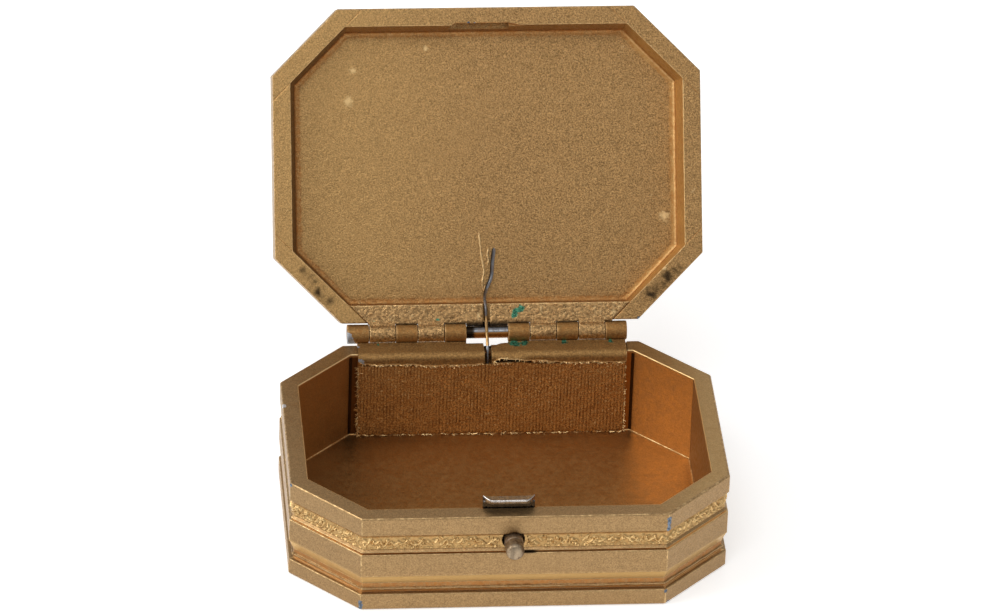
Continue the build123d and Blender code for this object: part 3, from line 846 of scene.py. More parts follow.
def build_lid_shell():
    reference = loop(octagon(0.0), ROUND, lid_stations(0.0))
    phi = np.arctan2(reference[:, 1] / HALF_D, reference[:, 0] / HALF_W)
    rows, kind = lid_rings(phi)
    x, y, z = (rows[:, :, k] for k in range(3))
    below = z - LID_Z0

    def of_kind(*names):
        return np.isin(kind, names)[:, None]

    # the rear wall stands square, so the recess reaches back to the leaves
    lean = np.clip(below, 0, PANEL_Z0 - LID_Z0) * DRAFT
    y[:] = np.where(of_kind("wall", "fillet", "floor") & (y > 0),
                    y * (1 + lean / (HALF_D - WALL - lean)), y)

    # front lip: scooped edge with an undercut behind it for the catch
    front = (y < -17.5) & (np.abs(x) < 19) & of_kind("rim", "lip", "wall")
    edge_y = -(HALF_D - WALL) - lip_edge(x)
    scooped = front & (below < SCOOP_T) & (lip_edge(x) > 0) & (y > edge_y)
    y[:] = np.where(scooped, edge_y, y)
    under = front & (x > -4.851) & (x < 3.201) & (below > SCOOP_T) & (below < POCKET_T) \
        & of_kind("wall")
    y[:] = np.where(under, -20.9, y)
    # rear rim: set back for the hinge leaves, grooved for the wire
    outer_lim = CORNER_SUM - WALL * ROOT2 - HALF_D
    leafed = (y > HALF_D - WALL - 0.05) & (np.abs(x) < outer_lim + (HALF_D - y) - 0.03) \
        & of_kind("rim", "lip", "edge", "wall") & (below < LEAF_T + 0.01)
    z[:] = np.where(leafed, LID_Z0 + LEAF_T + 0.01, z)
    groove = (y > 18.0) & (x > -1.151) & (x < 0.051) & (below < GROOVE_T + 0.001) \
        & of_kind("rim", "lip", "wall")
    z[:] = np.where(groove, LID_Z0 + GROOVE_T, z)

    # relief of the chased field: distance round its middle, and outwards from its inner edge
    field = kind == "field"
    fx, fy = x[field], y[field]
    middle = ellipse(16.4, 10.0, phi)
    arc = lengths(middle)
    period = arc[-1] + np.linalg.norm(middle[0] - middle[-1])
    foot = ellipse(*FIELD_IN, phi)
    width = np.linalg.norm(ellipse(*FIELD_OUT, phi) - foot, axis=1)
    outwards = np.hypot(fx - foot[:, 0], fy - foot[:, 1]) \
        * np.sign(np.hypot(fx, fy) - np.hypot(foot[:, 0], foot[:, 1]))
    relief = np.zeros(z.shape)
    relief[field] = strokes(np.broadcast_to(arc, fx.shape), outwards,
                            chasing(arc, period, width), period)
    relief[field] *= smooth(outwards / 0.4) * smooth((width[None] - outwards) / 0.5)
    relief[field] += 0.035 * noise(rows[field], 0.5, 31) * smooth(outwards / 0.4)
    z += relief

    # unevenness of the painted faces
    z += np.where(of_kind("top", "oval"), 0.02 * noise(rows * FLAT, 5.0, 32) - 0.012
                  + 0.006 * noise(rows * FLAT, 1.4, 33), 0)
    dent = np.where(of_kind("side"), np.minimum(0.014 * noise(rows, 3.0, 34), 0), 0)
    rows[:, :, :2] += outward(reference)[None] * dent[..., None]
    floor, rim = of_kind("floor"), of_kind("rim")
    z += np.where(floor, 0.03 * noise(rows * FLAT, 8.0, 35)
                  + 0.010 * noise(rows * FLAT, 0.9, 36) - 0.02, 0)
    z += np.where(rim & ~leafed & ~groove, np.abs(0.010 * noise(rows * FLAT, 1.1, 37)), 0)

    # joints between the rim bars: fine grooves along the mitre lines
    line = np.abs(np.abs(x) + np.abs(y) - (CORNER_SUM - WALL * ROOT2)) / ROOT2
    joint = np.where(of_kind("rim", "edge") & (np.abs(below) < 0.2), np.exp(-(line / 0.05) ** 2), 0)
    z += joint * 0.05

    marks = Marks(z.shape)
    wear, dirt = marks["wear"], marks["dirt"]
    oval_rows, fillet_rows = np.nonzero(kind == "oval")[0], np.nonzero(kind == "fillet")[0]
    wear[kind == "edge"] = 0.42
    wear[kind == "lip"] = 0.60
    wear[np.nonzero(kind == "rim")[0][-1]] = 0.55
    wear[oval_rows[8:11]] = 0.62
    wear[oval_rows[3]] = 0.5
    dirt[oval_rows[0:3]] = 0.75
    dirt[oval_rows[4:8]] = 0.55
    dirt[kind == "wall"] = 0.45
    dirt[kind == "fillet"] = 0.62
    row_inset = (HALF_W - x.max(1))[:, None]
    marks.put("dirt", 0.5 * np.exp(-(row_inset - 3.9) / 0.7), floor)
    # painted shade in the scoop of the lip and the pocket under it
    marks.put("dirt", 0.8, scooped | under)
    marks.most("wear", np.clip((relief - 0.13) * 4.0, 0, 0.8), field[:, None])
    marks.most("dirt", np.clip(0.28 - relief * 1.6, 0, 0.28), field[:, None])
    marks.most("dirt", joint * 0.8)
    # pale spots in the paint of the inside
    spots = near(rows, [(-19.2, -9.1, PANEL_Z0, 1.5), (-18.6, -13.4, PANEL_Z0, 1.1),
                        (25.1, 7.6, PANEL_Z0, 1.5), (15.9, -5.7, PANEL_Z0, 1.0),
                        (-8.2, -16.4, PANEL_Z0, 0.8), (24.6, 14.8, LID_Z0, 0.7)])
    faint = near(rows, [(19.5, -16.1, PANEL_Z0, 0.8), (14.2, 12.0, PANEL_Z0, 0.6),
                        (10.9, 10.5, PANEL_Z0, 0.5), (7.4, 15.5, PANEL_Z0, 0.6),
                        (23.3, 4.8, PANEL_Z0, 0.8), (28.9, 4.0, LID_Z0, 1.0)])
    marks.most("wear", np.maximum(spots * 0.85, faint * 0.55), floor | rim)
    # painted highlight along the recess fillet on the right
    marks["wear"][fillet_rows[2:4]] = 0.85 * smooth((x[fillet_rows[2:4]] - 19.0) / 2.0)
    # chips: along the top edge, and some larger ones
    marks["chip"] = near(rows, [
        (20.8, -21.95, 19.2, 1.3), (20.9, -21.9, 17.5, 0.9), (-20.8, -21.95, 20.3, 0.8),
        (20.9, 21.9, 14.95, 0.5), (-30.0, 12.8, 20.2, 0.6), (2.0, -21.95, 20.3, 0.5),
        (29.9, -12.7, 20.3, 0.7), (-20.8, 21.95, 20.3, 0.9), (20.8, 21.95, 20.3, 0.6),
        (-2.4, -19.75, LID_Z0 + 0.1, 0.42), (-1.6, -19.78, LID_Z0 + 0.1, 0.35)])
    top_edge = of_kind("edge") & (z > LID_TOP - 0.2)
    marks.most("chip", 0.32 + 0.10 * noise(rows, 0.7, 38) + 0.12 * noise(rows, 4.0, 39), top_edge)
    marks.put("silver", 0.75, top_edge)
    # painted shade on the recess wall to the left and in the pocket under the lip; dark scuffs on
    # the corner bars next to the hinge
    marks.most("soot", 0.5 * smooth((-x - 18.5) / 2.0), of_kind("wall"))
    marks.put("soot", 0.45, under)
    scuff = near(rows, [(s * cx, cy, LID_Z0, 1.5) for s in (-1, 1)
                        for cx, cy in ((26.2, 14.8), (25.0, 16.0), (23.8, 17.2), (22.7, 18.3))])
    rubbed = np.clip(0.55 + 0.45 * noise(rows * FLAT, 0.5, 41)
                     + 0.35 * noise(rows * FLAT, 1.6, 42), 0, 1)
    marks.most("soot", np.clip(scuff * 1.6, 0, 1) * rubbed * 0.75, rim)
    # painted light: the recess wall and fillet brighter on the right, and the inside and rim
    # brighter towards the left
    marks.most("painted_sheen", 0.5 * smooth((x - 19.0) / 2.0), of_kind("fillet"))
    marks.most("painted_sheen", smooth((x - 17.0) / 6.0), of_kind("wall"))
    marks.most("painted_sheen", 0.22 * smooth((4.0 - x) / 26.0), floor | rim)

    shell = make("lid_shell", *lofted(rows), "lid", mats["lid"],
                 ["lid_panel", "lid_rim_front", "lid_rim_rear", "lid_rim_left", "lid_rim_right",
                  "lid_corner_front_left", "lid_corner_front_right",
                  "lid_corner_back_left", "lid_corner_back_right"],
                 "gilt_metal", lid=True, marks=marks)
    # the outside takes the smoother paint of the case
    shell.data.materials.append(mats["case"])
    rim_start = np.nonzero(kind == "rim")[0][0] * len(phi)
    for p in shell.data.polygons:
        p.material_index = int(max(p.vertices) < rim_start)


build_lid_shell()


def build_medallion():
    """Raised flat oval in the middle of the lid, with a soft worn edge."""
    low, angles = LID_TOP - OVAL_DEPTH, circle(420)
    profile = [(0.62, -0.02), (0.50, 0.01), (0.43, 0.06), (0.38, 0.16), (0.26, 0.34),
               (0.12, 0.50), (0.05, 0.575), (0.0, 0.605), (-0.08, 0.615), (-0.2, 0.618)]
    rows = [at_height(ellipse(MEDAL_A + o, MEDAL_B + o, angles), low + z) for o, z in profile]
    inset, height = profile[-1]
    rows += [at_height(ellipse((MEDAL_A + inset) * s, (MEDAL_B + inset) * s, angles), low + height)
             for s in np.linspace(0.94, 0.06, 22)]
    rows = np.array(rows)
    rows[9:, :, 2] += 0.018 * noise(rows[9:] * FLAT, 4.0, 41) - 0.012
    rows[1:6] += np.stack([0.02 * noise(rows[1:6], 0.6, 42 + k) for k in range(3)], -1)
    marks = Marks(rows.shape[:2])
    marks["wear"][5:8] = 0.66
    marks["dirt"][0:4] = 0.7
    make("medallion", *lofted(rows), "lid", mats["case"], ["lid_medallion"], "gilt_metal",
         lid=True, marks=marks)


build_medallion()


def build_plate(sx, sy, name):
    """Raised three-cornered plate: filleted foot, bevelled sides, worn edges."""
    corners = [np.array((sx * x, sy * y)) for x, y in PLATE]
    if sx * sy < 0:
        corners = corners[::-1]     # keeps the outline anticlockwise

    def grown(amount):
        out = []
        for i in range(3):
            a, b, c = corners[i - 1], corners[i], corners[(i + 1) % 3]
            n1 = np.array(((b - a)[1], -(b - a)[0])) / np.linalg.norm(b - a)
            n2 = np.array(((c - b)[1], -(c - b)[0])) / np.linalg.norm(c - b)
            out.append(b + (n1 + n2) * amount / (1 + n1 @ n2))
        return out

    def stations(i, length):
        return np.linspace(0.16 - length / 2, length / 2 - 0.16, 70)

    profile = [(0.46, -0.03), (0.40, 0.015), (0.355, 0.07), (0.32, 0.16), (0.20, 0.42),
               (0.09, 0.66), (0.03, 0.755), (-0.03, 0.79), (-0.12, PLATE_H)]
    rows = [at_height(loop(grown(o), 0.16, stations), LID_TOP + z) for o, z in profile]
    top, centre = rows[-1], rows[-1].mean(0)
    rows = np.array(rows + [centre + (top - centre) * s for s in np.linspace(0.93, 0.05, 16)])
    rows[8:, :, 2] += 0.02 * noise(rows[8:] * FLAT, 3.0, 51) - 0.014
    rows[1:7] += np.stack([0.018 * noise(rows[1:7], 0.5, 52 + k) for k in range(3)], -1)
    outer = np.abs(rows[:, :, 0]) + np.abs(rows[:, :, 1]) > sum(PLATE[0]) - 0.25
    marks = Marks(rows.shape[:2])
    marks["wear"][5:8] = 0.55
    marks["wear"][4:8] += np.where(outer[4:8], 0.35, 0.0)
    marks["dirt"][0:4] = 0.75
    # chips: all along the outer edge of one plate, at the ends of it on the others
    a, b = np.array(PLATE[0]) * (sx, sy), np.array(PLATE[1]) * (sx, sy)
    ends = [(*a, LID_TOP + 0.75, 1.1), (*b, LID_TOP + 0.75, 0.9)]
    if sy < 0 and sx > 0:
        ends = [(*(a + (b - a) * t), LID_TOP + 0.72, 0.62) for t in np.linspace(0.02, 0.98, 40)]
    marks["chip"] = near(rows, ends if sy < 0 else ends[:1])
    marks["silver"] = np.where(outer, 0.85, 0.1) * (sy < 0)
    make(name + "_detailed", *lofted(rows), "lid", mats["case"], [name], "gilt_metal", lid=True,
         marks=marks)


for side, sx in (("left", -1), ("right", 1)):
    for end, sy in (("front", -1), ("back", 1)):
        build_plate(sx, sy, f"lid_plate_{end}_{side}")


# ---------------------------------------------------------------- hinges
def spans():
    """Knuckles from left to right: start, end, True where it belongs to the case."""
    out, x = [], HINGE_X0
    for _ in range(2):
        for index in range(5):
            own = index % 2 == 0
            length = CASE_KNUCKLE if own else LID_KNUCKLE
            out.append((x + PLAY, x + length - PLAY, own))
            x += length
        x += HINGE_GAP
    return out


def lathed(profile, centre, axis, around=48):
    """Rings of a turned piece: (distance along the axis, radius) pairs."""
    rings = np.array([[(along, centre[0] + r * math.cos(a), centre[1] + r * math.sin(a))
                       for a in circle(around)] for along, r in profile])
    return rings if axis == "x" else rings[..., [1, 0, 2]]


def from_axis(points):
    """Offset of each point from the hinge's axis."""
    return (points - (0, AXIS_Y, AXIS_Z)) * (0, 1, 1)


def barrel(x0, x1, seed, rough):
    """Rolled knuckle: tube with softened ends and a slightly uneven skin."""
    end = [(0.0, BORE_R), (0.0, BARREL_R - 0.10), (0.015, BARREL_R - 0.05),
           (0.05, BARREL_R - 0.015), (0.11, BARREL_R)]
    profile = [(x0 + along, r) for along, r in end]
    profile += [(x, BARREL_R) for x in np.linspace(x0 + 0.35, x1 - 0.35, 16)]
    profile += [(x1 - along, r) for along, r in reversed(end)]
    rows = lathed(profile, (AXIS_Y, AXIS_Z), "x", 56)
    skin = rows[2:-2]
    bulge = 0.6 * rough * (noise(skin, 0.7, seed) - 1)
    skin += from_axis(skin) / BARREL_R * bulge[..., None]
    wear = np.zeros(rows.shape[:2])
    wear[2:5] = 0.5
    wear[-5:-2] = 0.45
    return rows.reshape(-1, 3), ring_faces(*wear.shape, wrap_rows=True), wear.ravel()


def web(x0, x1, top, bottom, dirt):
    """Strip of sheet that joins a knuckle to its leaf, between two lines of (y, z)."""
    above, below = (np.array([[(x, y, z) for y, z in line] for x in np.linspace(x0, x1, 14)])
                    for line in (top, bottom))
    return *slab(above, below), {"dirt": dirt}


def joined(parts):
    """One set of points, faces and marks from several."""
    points, faces, marks = [], [], {}
    count = 0
    names = sorted({k for p in parts for k in p[2]})
    for pts, fcs, mks in parts:
        points.append(np.asarray(pts).reshape(-1, 3))
        faces += [[i + count for i in f] for f in fcs]
        n = len(points[-1])
        for k in names:
            marks.setdefault(k, []).append(spread(mks.get(k, 0.0), n))
        count += n
    return np.vstack(points), faces, {k: np.concatenate(v) for k, v in marks.items()}


# torn lower edge of the case leaves: x, z
TORN_EDGE = [(-18.7, 13.75), (-17.9, 13.35), (-16, 13.22), (-12, 13.15), (-7.7, 12.92), (-4, 13.0),
             (-1.05, 13.1), (-0.05, 13.3), (0.4, 13.6), (1.0, 13.95), (1.7, 14.05), (2.6, 13.98),
             (4.0, 13.8), (5.3, 13.6), (6.3, 13.5), (9.0, 13.3), (12, 13.15), (15, 13.2),
             (19, 13.02)]


def torn(x):
    """Height of the torn edge at x."""
    p = np.array([(x, 0, 0)])
    base = np.interp(x, *zip(*TORN_EDGE))
    return min(float(base + 0.07 * noise(p, 0.9, 61)[0] + 0.05 * noise(p, 0.28, 62)[0]), 14.08)


def leaf_rows(x, left, count=34):
    """Front and back lines of a case leaf at x: over the rim, round its edge, down the wall."""
    fold_r, face_y = 0.92, HALF_D - WALL - 0.1 - LEAF_T
    end = torn(x)
    rear = HALF_D + (-0.03 if -3.42 < x < 2.42 else 0.35)
    lift = 0.0
    if not left:
        rear -= 1.05 * math.exp(-((x - SLOT_X1) / 0.95) ** 2)
        lift = 0.28 * math.exp(-((x - 3.0) / 2.2) ** 4)
    path = [(y, CASE_H + 0.09 * float(smooth((y - 22.0) / 0.25)), 0.0)
            for y in np.linspace(rear, face_y + fold_r, 40)]
    path += [(face_y + fold_r - fold_r * math.sin(a), CASE_H - fold_r + fold_r * math.cos(a), a)
             for a in np.linspace(0, math.pi / 2, 24)[1:]]
    path += [(face_y, z, math.pi / 2) for z in np.linspace(CASE_H - fold_r, 12.7, 20)[1:]]
    path = np.array(path)
    path = path[path[:, 1] > end]
    run = lengths(path[:, :2])
    at = np.linspace(0, run[-1], count)
    y, z, lean = (np.interp(at, run, path[:, k]) for k in range(3))
    z[-1] = end
    y = y - lift * smooth((CASE_H - z) / (CASE_H - end))
    t = LEAF_T - 0.02
    xs = np.full(count, x)
    return np.stack([xs, y, z], 1), np.stack([xs, y + t * np.sin(lean), z - t * np.cos(lean)], 1)


def build_case_leaf(side, left):
    """Leaf folded over the rear rim, with the case's knuckles of this side."""
    x0, x1 = (LEAF_X0, SLOT_X0) if left else (SLOT_X1, LEAF_X1)
    front, back = (np.array(lines) for lines in
                   zip(*(leaf_rows(x, left) for x in np.linspace(x0, x1, 180))))
    wave = 0.05 * noise(front, 3.2, 63) + 0.028 * noise(front, 1.1, 64)
    wave = wave * smooth(np.arange(front.shape[1]) / 10.0 - 0.3)[None]
    front[..., 1] += wave
    front[..., 2] -= np.abs(wave) * 0.8
    back[..., 1] += wave
    marks = Marks(front.shape[:2])
    marks["wear"][:, -1] = 0.95
    marks["wear"][:, -2] = 0.55
    marks["wear"][:2] = 0.4
    marks["wear"][-2:] = 0.4
    # painted shade along the leaf's rear edge, beside the knuckles
    marks["soot"][:, 0] = 0.8
    marks["chip"] = near(front, [(LEAF_X0 + 0.1, 19.1, 13.5, 1.3),
                                 (LEAF_X0 + 0.05, 21.4, 14.75, 0.4)])
    marks["green"] = near(front, [(3.4, 21.7, 14.75, 1.5), (4.6, 21.8, 14.75, 1.1),
                                  (10.3, 21.9, 14.75, 0.8), (-15.8, 21.9, 14.75, 0.35),
                                  (16.8, 21.9, 14.75, 0.7)])
    marks["silver"] = np.where(marks["chip"] > 0, 0.6, 0.0)
    parts = [(*slab(front, back), marks)]
    seat = CASE_H - 0.005
    for k, (k0, k1, own) in enumerate(spans()):
        if not own or (k0 < SLOT_X0) != left:
            continue
        pts, fcs, wear = barrel(k0, k1, 70 + k, 0.022)
        worn = [(HINGE_X0, AXIS_Y - 1.1, AXIS_Z - 0.6, 1.7),
                (HINGE_X0, AXIS_Y - 1.2, AXIS_Z + 0.3, 1.0)]
        stain = [(3.3, AXIS_Y - 0.6, AXIS_Z - 1.2, 0.9)]
        parts.append((pts, fcs, {
            "wear": wear, "dirt": 0.45, "silver": 0.5,
            "chip": near(pts, worn if k == 0 else []) * 1.3,
            "green": near(pts, stain if k == 5 else [])}))
        parts.append(web(max(k0, x0) + 0.02, min(k1, x1) - 0.02,
                         [(21.7, seat), (22.1, seat), (22.4, seat + 0.02), (22.62, seat + 0.08)],
                         [(y, CASE_H - LEAF_T + 0.02) for y in (21.7, 22.1, 22.4, 22.7)], 0.35))
    points, faces, marks = joined(parts)
    make(f"case_leaf_{side}", points, faces, "case", mats["band"], [f"hinge_leaf_case_{side}"],
         "hinge_brass", marks=marks)


def build_lid_leaf(side, left):
    """Flat leaf on the lid's rear rim, its outer end cut along the joint of the corner bar."""
    outer = CORNER_SUM - (WALL + 0.1) * ROOT2 - HALF_D
    us, vs = np.linspace(0, 1, 150)[:, None], np.linspace(0, 1, 26)[None]
    x_in, hand = (SLOT_X0, -1) if left else (SLOT_X1, 1)
    front = np.zeros((us.size, vs.size, 3))
    front[..., 0] = x_in + (hand * (outer + vs * (WALL - 0.1)) - x_in) * us
    front[..., 1] = HALF_D - 0.02 - vs * (WALL - 0.06)
    front[..., 2] = LID_Z0
    in_gap = (front[:, 0, 0] > -3.37) & (front[:, 0, 0] < 2.41)
    front[:, 0, 1] += np.where(in_gap, 0.66, 0.23)
    back = front.copy()
    back[..., 2] = LID_Z0 + LEAF_T - 0.01
    back[:, 0, 2] = LID_Z0 + 0.17
    edge = np.minimum(np.minimum(us, 1 - us) * 17, np.minimum(vs, 1 - vs) * 2.4)
    front[..., 2] += 0.06 * np.exp(-(edge / 0.07) ** 2)
    ragged = 0.04 * noise(front, 0.5, 81)
    front[..., 2] += np.abs(0.030 * noise(front, 0.45, 82)) + 0.012 * np.abs(noise(front, 1.5, 83))
    front[:, -1, 1] += ragged[:, -1]
    marks = Marks(front.shape[:2])
    # painted shade along the edge by the knuckles, darkest in the gap between the hinges
    marks["soot"][:, 0] = np.where(in_gap, 1.0, 0.75)
    marks["soot"][:, 1] = np.where(in_gap, 0.4, 0.0)
    wear = np.clip(0.55 * noise(front * np.array((1.0, 0.5, 1.0)), 0.42, 84) + 0.12, 0, 0.75)
    wear[:, -2:] = np.maximum(wear[:, -2:], 0.5)
    marks["wear"] = wear
    marks["dirt"] = np.clip(0.45 * noise(front, 0.7, 85) + 0.08, 0, 0.5)
    marks["green"] = near(front, [(3.55, 20.6, LID_Z0, 1.0), (4.3, 20.2, LID_Z0, 0.9),
                                  (3.3, 21.2, LID_Z0, 0.8), (-7.3, 21.75, LID_Z0, 0.6),
                                  (-16.3, 21.8, LID_Z0, 0.4)])
    parts = [(*slab(front, back), marks)]
    for k, (k0, k1, own) in enumerate(spans()):
        if own or (k0 < SLOT_X0) != left:
            continue
        pts, fcs, worn = barrel(k0, k1, 90 + k, 0.012)
        parts.append((pts, fcs, {"wear": worn}))
        ys = (21.7, 22.0, 22.3, 22.45)
        parts.append(web(k0 + 0.02, k1 - 0.02, [(y, LID_Z0 + 0.005) for y in ys],
                         [(y, LID_Z0 + LEAF_T - 0.01) for y in ys], 0.4))
    if left:
        # near-black lump in the gap beside the wire, painted shade standing for the dark there
        lump = np.array([[(x, y, 16.55 + 0.1 * math.sin(9 * x))
                          for y in np.linspace(21.9, 22.74, 6)]
                         for x in np.linspace(-1.25, 0.1, 9)])
        parts.append((*slab(lump - (0, 0, 0.33), lump), {"soot": 1.0}))
    points, faces, marks = joined(parts)
    make(f"lid_leaf_{side}", points, faces, "lid", mats["leaf"], [f"hinge_leaf_lid_{side}"],
         "hinge_brass", lid=True, marks=marks)


for side, left in (("left", True), ("right", False)):
    build_case_leaf(side, left)
    build_lid_leaf(side, left)


def build_pin():
    """Pin through both hinges, thickened by paint where it is bare between them."""
    x0, x1 = HINGE_X0 + 0.05, spans()[-1][1]
    tip = [(0.0, 0.30), (0.0, 0.58), (0.04, 0.66), (0.12, PIN_R)]
    profile = [(x0 + along, r) for along, r in tip]
    for start, end, radius, count in ((x0 + 0.4, -3.36, PIN_R, 40), (-3.35, 2.40, 0.86, 24),
                                      (2.41, x1 - 0.4, PIN_R, 40)):
        profile += [(x, radius) for x in np.linspace(start, end, count)]
    profile += [(x1 - along, r) for along, r in reversed(tip)]
    rings = lathed(profile, (AXIS_Y, AXIS_Z), "x")
    skin = rings[4:-4]
    skin += from_axis(skin) * (0.012 * noise(skin, 0.8, 101) - 0.012)[..., None]
    # painted reflection: the lower half coloured gold and red as the case it mirrors; painted shade
    # on its upper back and the part left of x = -1.9
    low = smooth((AXIS_Z + 0.52 - rings[..., 2]) / 0.2)
    streaks = noise(rings * np.array((0.5, 1, 1)), 0.35, 102)
    soot = np.maximum(0.9 * smooth((-1.9 - rings[..., 0]) / 0.7),
                      0.75 * smooth((rings[..., 1] - AXIS_Y + 0.12) / 0.3) * (1 - low))
    make("pin", *lofted(rings), "case", mats["steel"], ["hinge_pin"], "steel",
         marks={"paint": low * 0.9, "dirt": low * (0.75 + 0.3 * streaks),
                "soot": np.clip(soot, 0, 1)})


build_pin()


# ---------------------------------------------------------------- cloth strip
RIB = 0.47      # from one rib of the cloth to the next


def build_lining():
    """Ribbed cloth on the rear wall, its upper edge bulging under the torn leaf."""
    gx, gz = np.meshgrid(np.linspace(LEAF_X0, LEAF_X1, 561),
                         np.linspace(LINING_Z0, LINING_Z1, 118), indexing="ij")
    rise = 0.30 * smooth((gx - 0.1) / 0.8) * smooth((5.8 - gx) / 1.2)
    gz = gz + rise * smooth((gz - 11.0) / 1.95)
    p = np.stack([gx, gx * 0, gz], -1)
    shift = 0.10 * noise(p * np.array((1, 1, 0.4)), 2.5, 111)
    phase = (gx + shift) / RIB
    ridge = np.abs(np.sin(np.pi * phase)) ** 0.8
    weave = np.sin(2 * np.pi * (gz / 0.33 + 0.5 * (np.floor(phase) % 2)))
    uneven = 0.5 + 0.5 * noise(p, 0.9, 117)
    height = (0.03 + 0.07 * uneven) * ridge + 0.025 * weave * ridge + 0.045 * noise(p, 0.26, 112) \
        + 0.08 * noise(p, 5.0, 113)
    border = np.minimum(np.minimum(gx - LEAF_X0, LEAF_X1 - gx), gz - LINING_Z0)
    height -= 0.12 * np.exp(-(border / 0.25) ** 2)
    front = np.stack([gx, LINING_Y0 + 0.16 - height, gz], -1)
    cut = 0.12 * noise(p * np.array((0, 0, 1)) + 3, 0.5, 114)
    front[..., 0] += np.where(np.abs(gx - LEAF_X0) < 0.2, cut, 0) \
        - np.where(np.abs(gx - LEAF_X1) < 0.2, np.abs(cut), 0)
    back = front.copy()
    back[..., 1] = LINING_Y1
    marks = Marks(gx.shape)
    marks["wear"] = np.clip(noise(p, 0.20, 115) * 2.0 - 0.70, 0, 0.8) * smooth(ridge)
    # painted highlight: brighter rib tops towards the right
    marks.most("wear", 0.55 * smooth((gx + 12.0) / 20.0) * np.clip(ridge * 1.6 - 0.9, 0, 1)
               * np.clip(0.6 + 0.9 * noise(p, 0.5, 118), 0, 1))
    marks.most("wear", np.exp(-(border / 0.10) ** 2) * (0.35 + 0.5 * noise(p, 0.4, 116)))
    # painted shade between the ribs
    marks["dirt"] = (1 - ridge) * (0.45 + 0.5 * uneven)
    strip = make("cloth_strip", *slab(front, back), "case", mats["cloth"], ["back_lining"],
                 "ribbed_cloth", marks=marks, sharp=60)


build_lining()


def unit(vectors):
    return vectors / np.linalg.norm(vectors, axis=1)[:, None]


def tube(path, t, side, a, b, around):
    """Rings round a path that runs along t: half width a along side and b across it."""
    up = np.cross(t, side)
    q = circle(around)[:, None]
    a, b = (np.broadcast_to(r, len(path))[:, None, None] for r in (a, b))
    return path[:, None] + a * np.cos(q) * side[:, None] + b * np.sin(q) * up[:, None]


def thread(path, radius):
    """Thin round strand along the path, pointed at its far end."""
    path = np.array(path)
    t = unit(np.gradient(path, axis=0))
    r = np.full(len(path), radius)
    r[-1] *= 0.35
    return lofted(tube(path, t, unit(np.cross(t, (0.3, 1.0, 0.2))), r, r, 5))


def build_frays():
    """Loose gilt threads along the cut edges of the cloth and the torn leaf edges."""
    rng = np.random.default_rng(41)
    parts = []

    def strand(start, heading, length, radius):
        p, d = np.array(start, float), np.array(heading, float)
        path = [p]
        for _ in range(4):
            d = d + rng.normal(0, 0.35, 3) * np.array((1, 0.35, 1))
            d /= np.linalg.norm(d)
            p = p + d * length / 4
            p[1] = min(max(p[1], 18.55), 19.35)
            p[2] = max(p[2], FLOOR_T + 0.08)
            path.append(p)
        parts.append((*thread(path, radius), {"wear": rng.uniform(0.5, 1.0)}))

    # left and right ends of the cloth
    for count, x, (lean, sway), length in ((90, LEAF_X0 + 0.1, (-0.6, 0.8), (0.3, 0.8)),
                                           (80, LEAF_X1 - 0.15, (0.4, 0.9), (0.2, 0.5))):
        for _ in range(count):
            strand((x, 18.98, rng.uniform(LINING_Z0, LINING_Z1)),
                   (lean, -0.15, rng.normal(0, sway)), rng.uniform(*length),
                   rng.uniform(0.025, 0.05))
    # foot of the cloth
    for _ in range(230):
        strand((rng.uniform(LEAF_X0, LEAF_X1), 18.92, LINING_Z0 + 0.12),
               (rng.normal(0, 0.9), -0.25, -0.15), rng.uniform(0.25, 0.7),
               rng.uniform(0.03, 0.055))
    # torn edges of the leaves
    for _ in range(260):
        x = rng.uniform(LEAF_X0 + 0.2, LEAF_X1 - 0.2)
        if not SLOT_X0 - 0.1 < x < SLOT_X1 + 0.1:
            strand((x, 18.98, torn(x) + 0.04), (rng.normal(0, 0.8), -0.3, -0.5),
                   rng.uniform(0.18, 0.50), rng.uniform(0.03, 0.065))
    # the cloth's upper edge, bare where the right leaf is torn away
    for x in np.arange(0.0, 2.9, 0.17):
        strand((x, 18.80, 13.42 + 0.03 * x), (rng.normal(0, 0.2), -0.10, -0.9),
               rng.uniform(0.4, 0.6), rng.uniform(0.06, 0.08))
    points, faces, marks = joined(parts)
    make("loose_threads", points, faces, "case", mats["thread"], slot="ribbed_cloth", marks=marks)


build_frays()


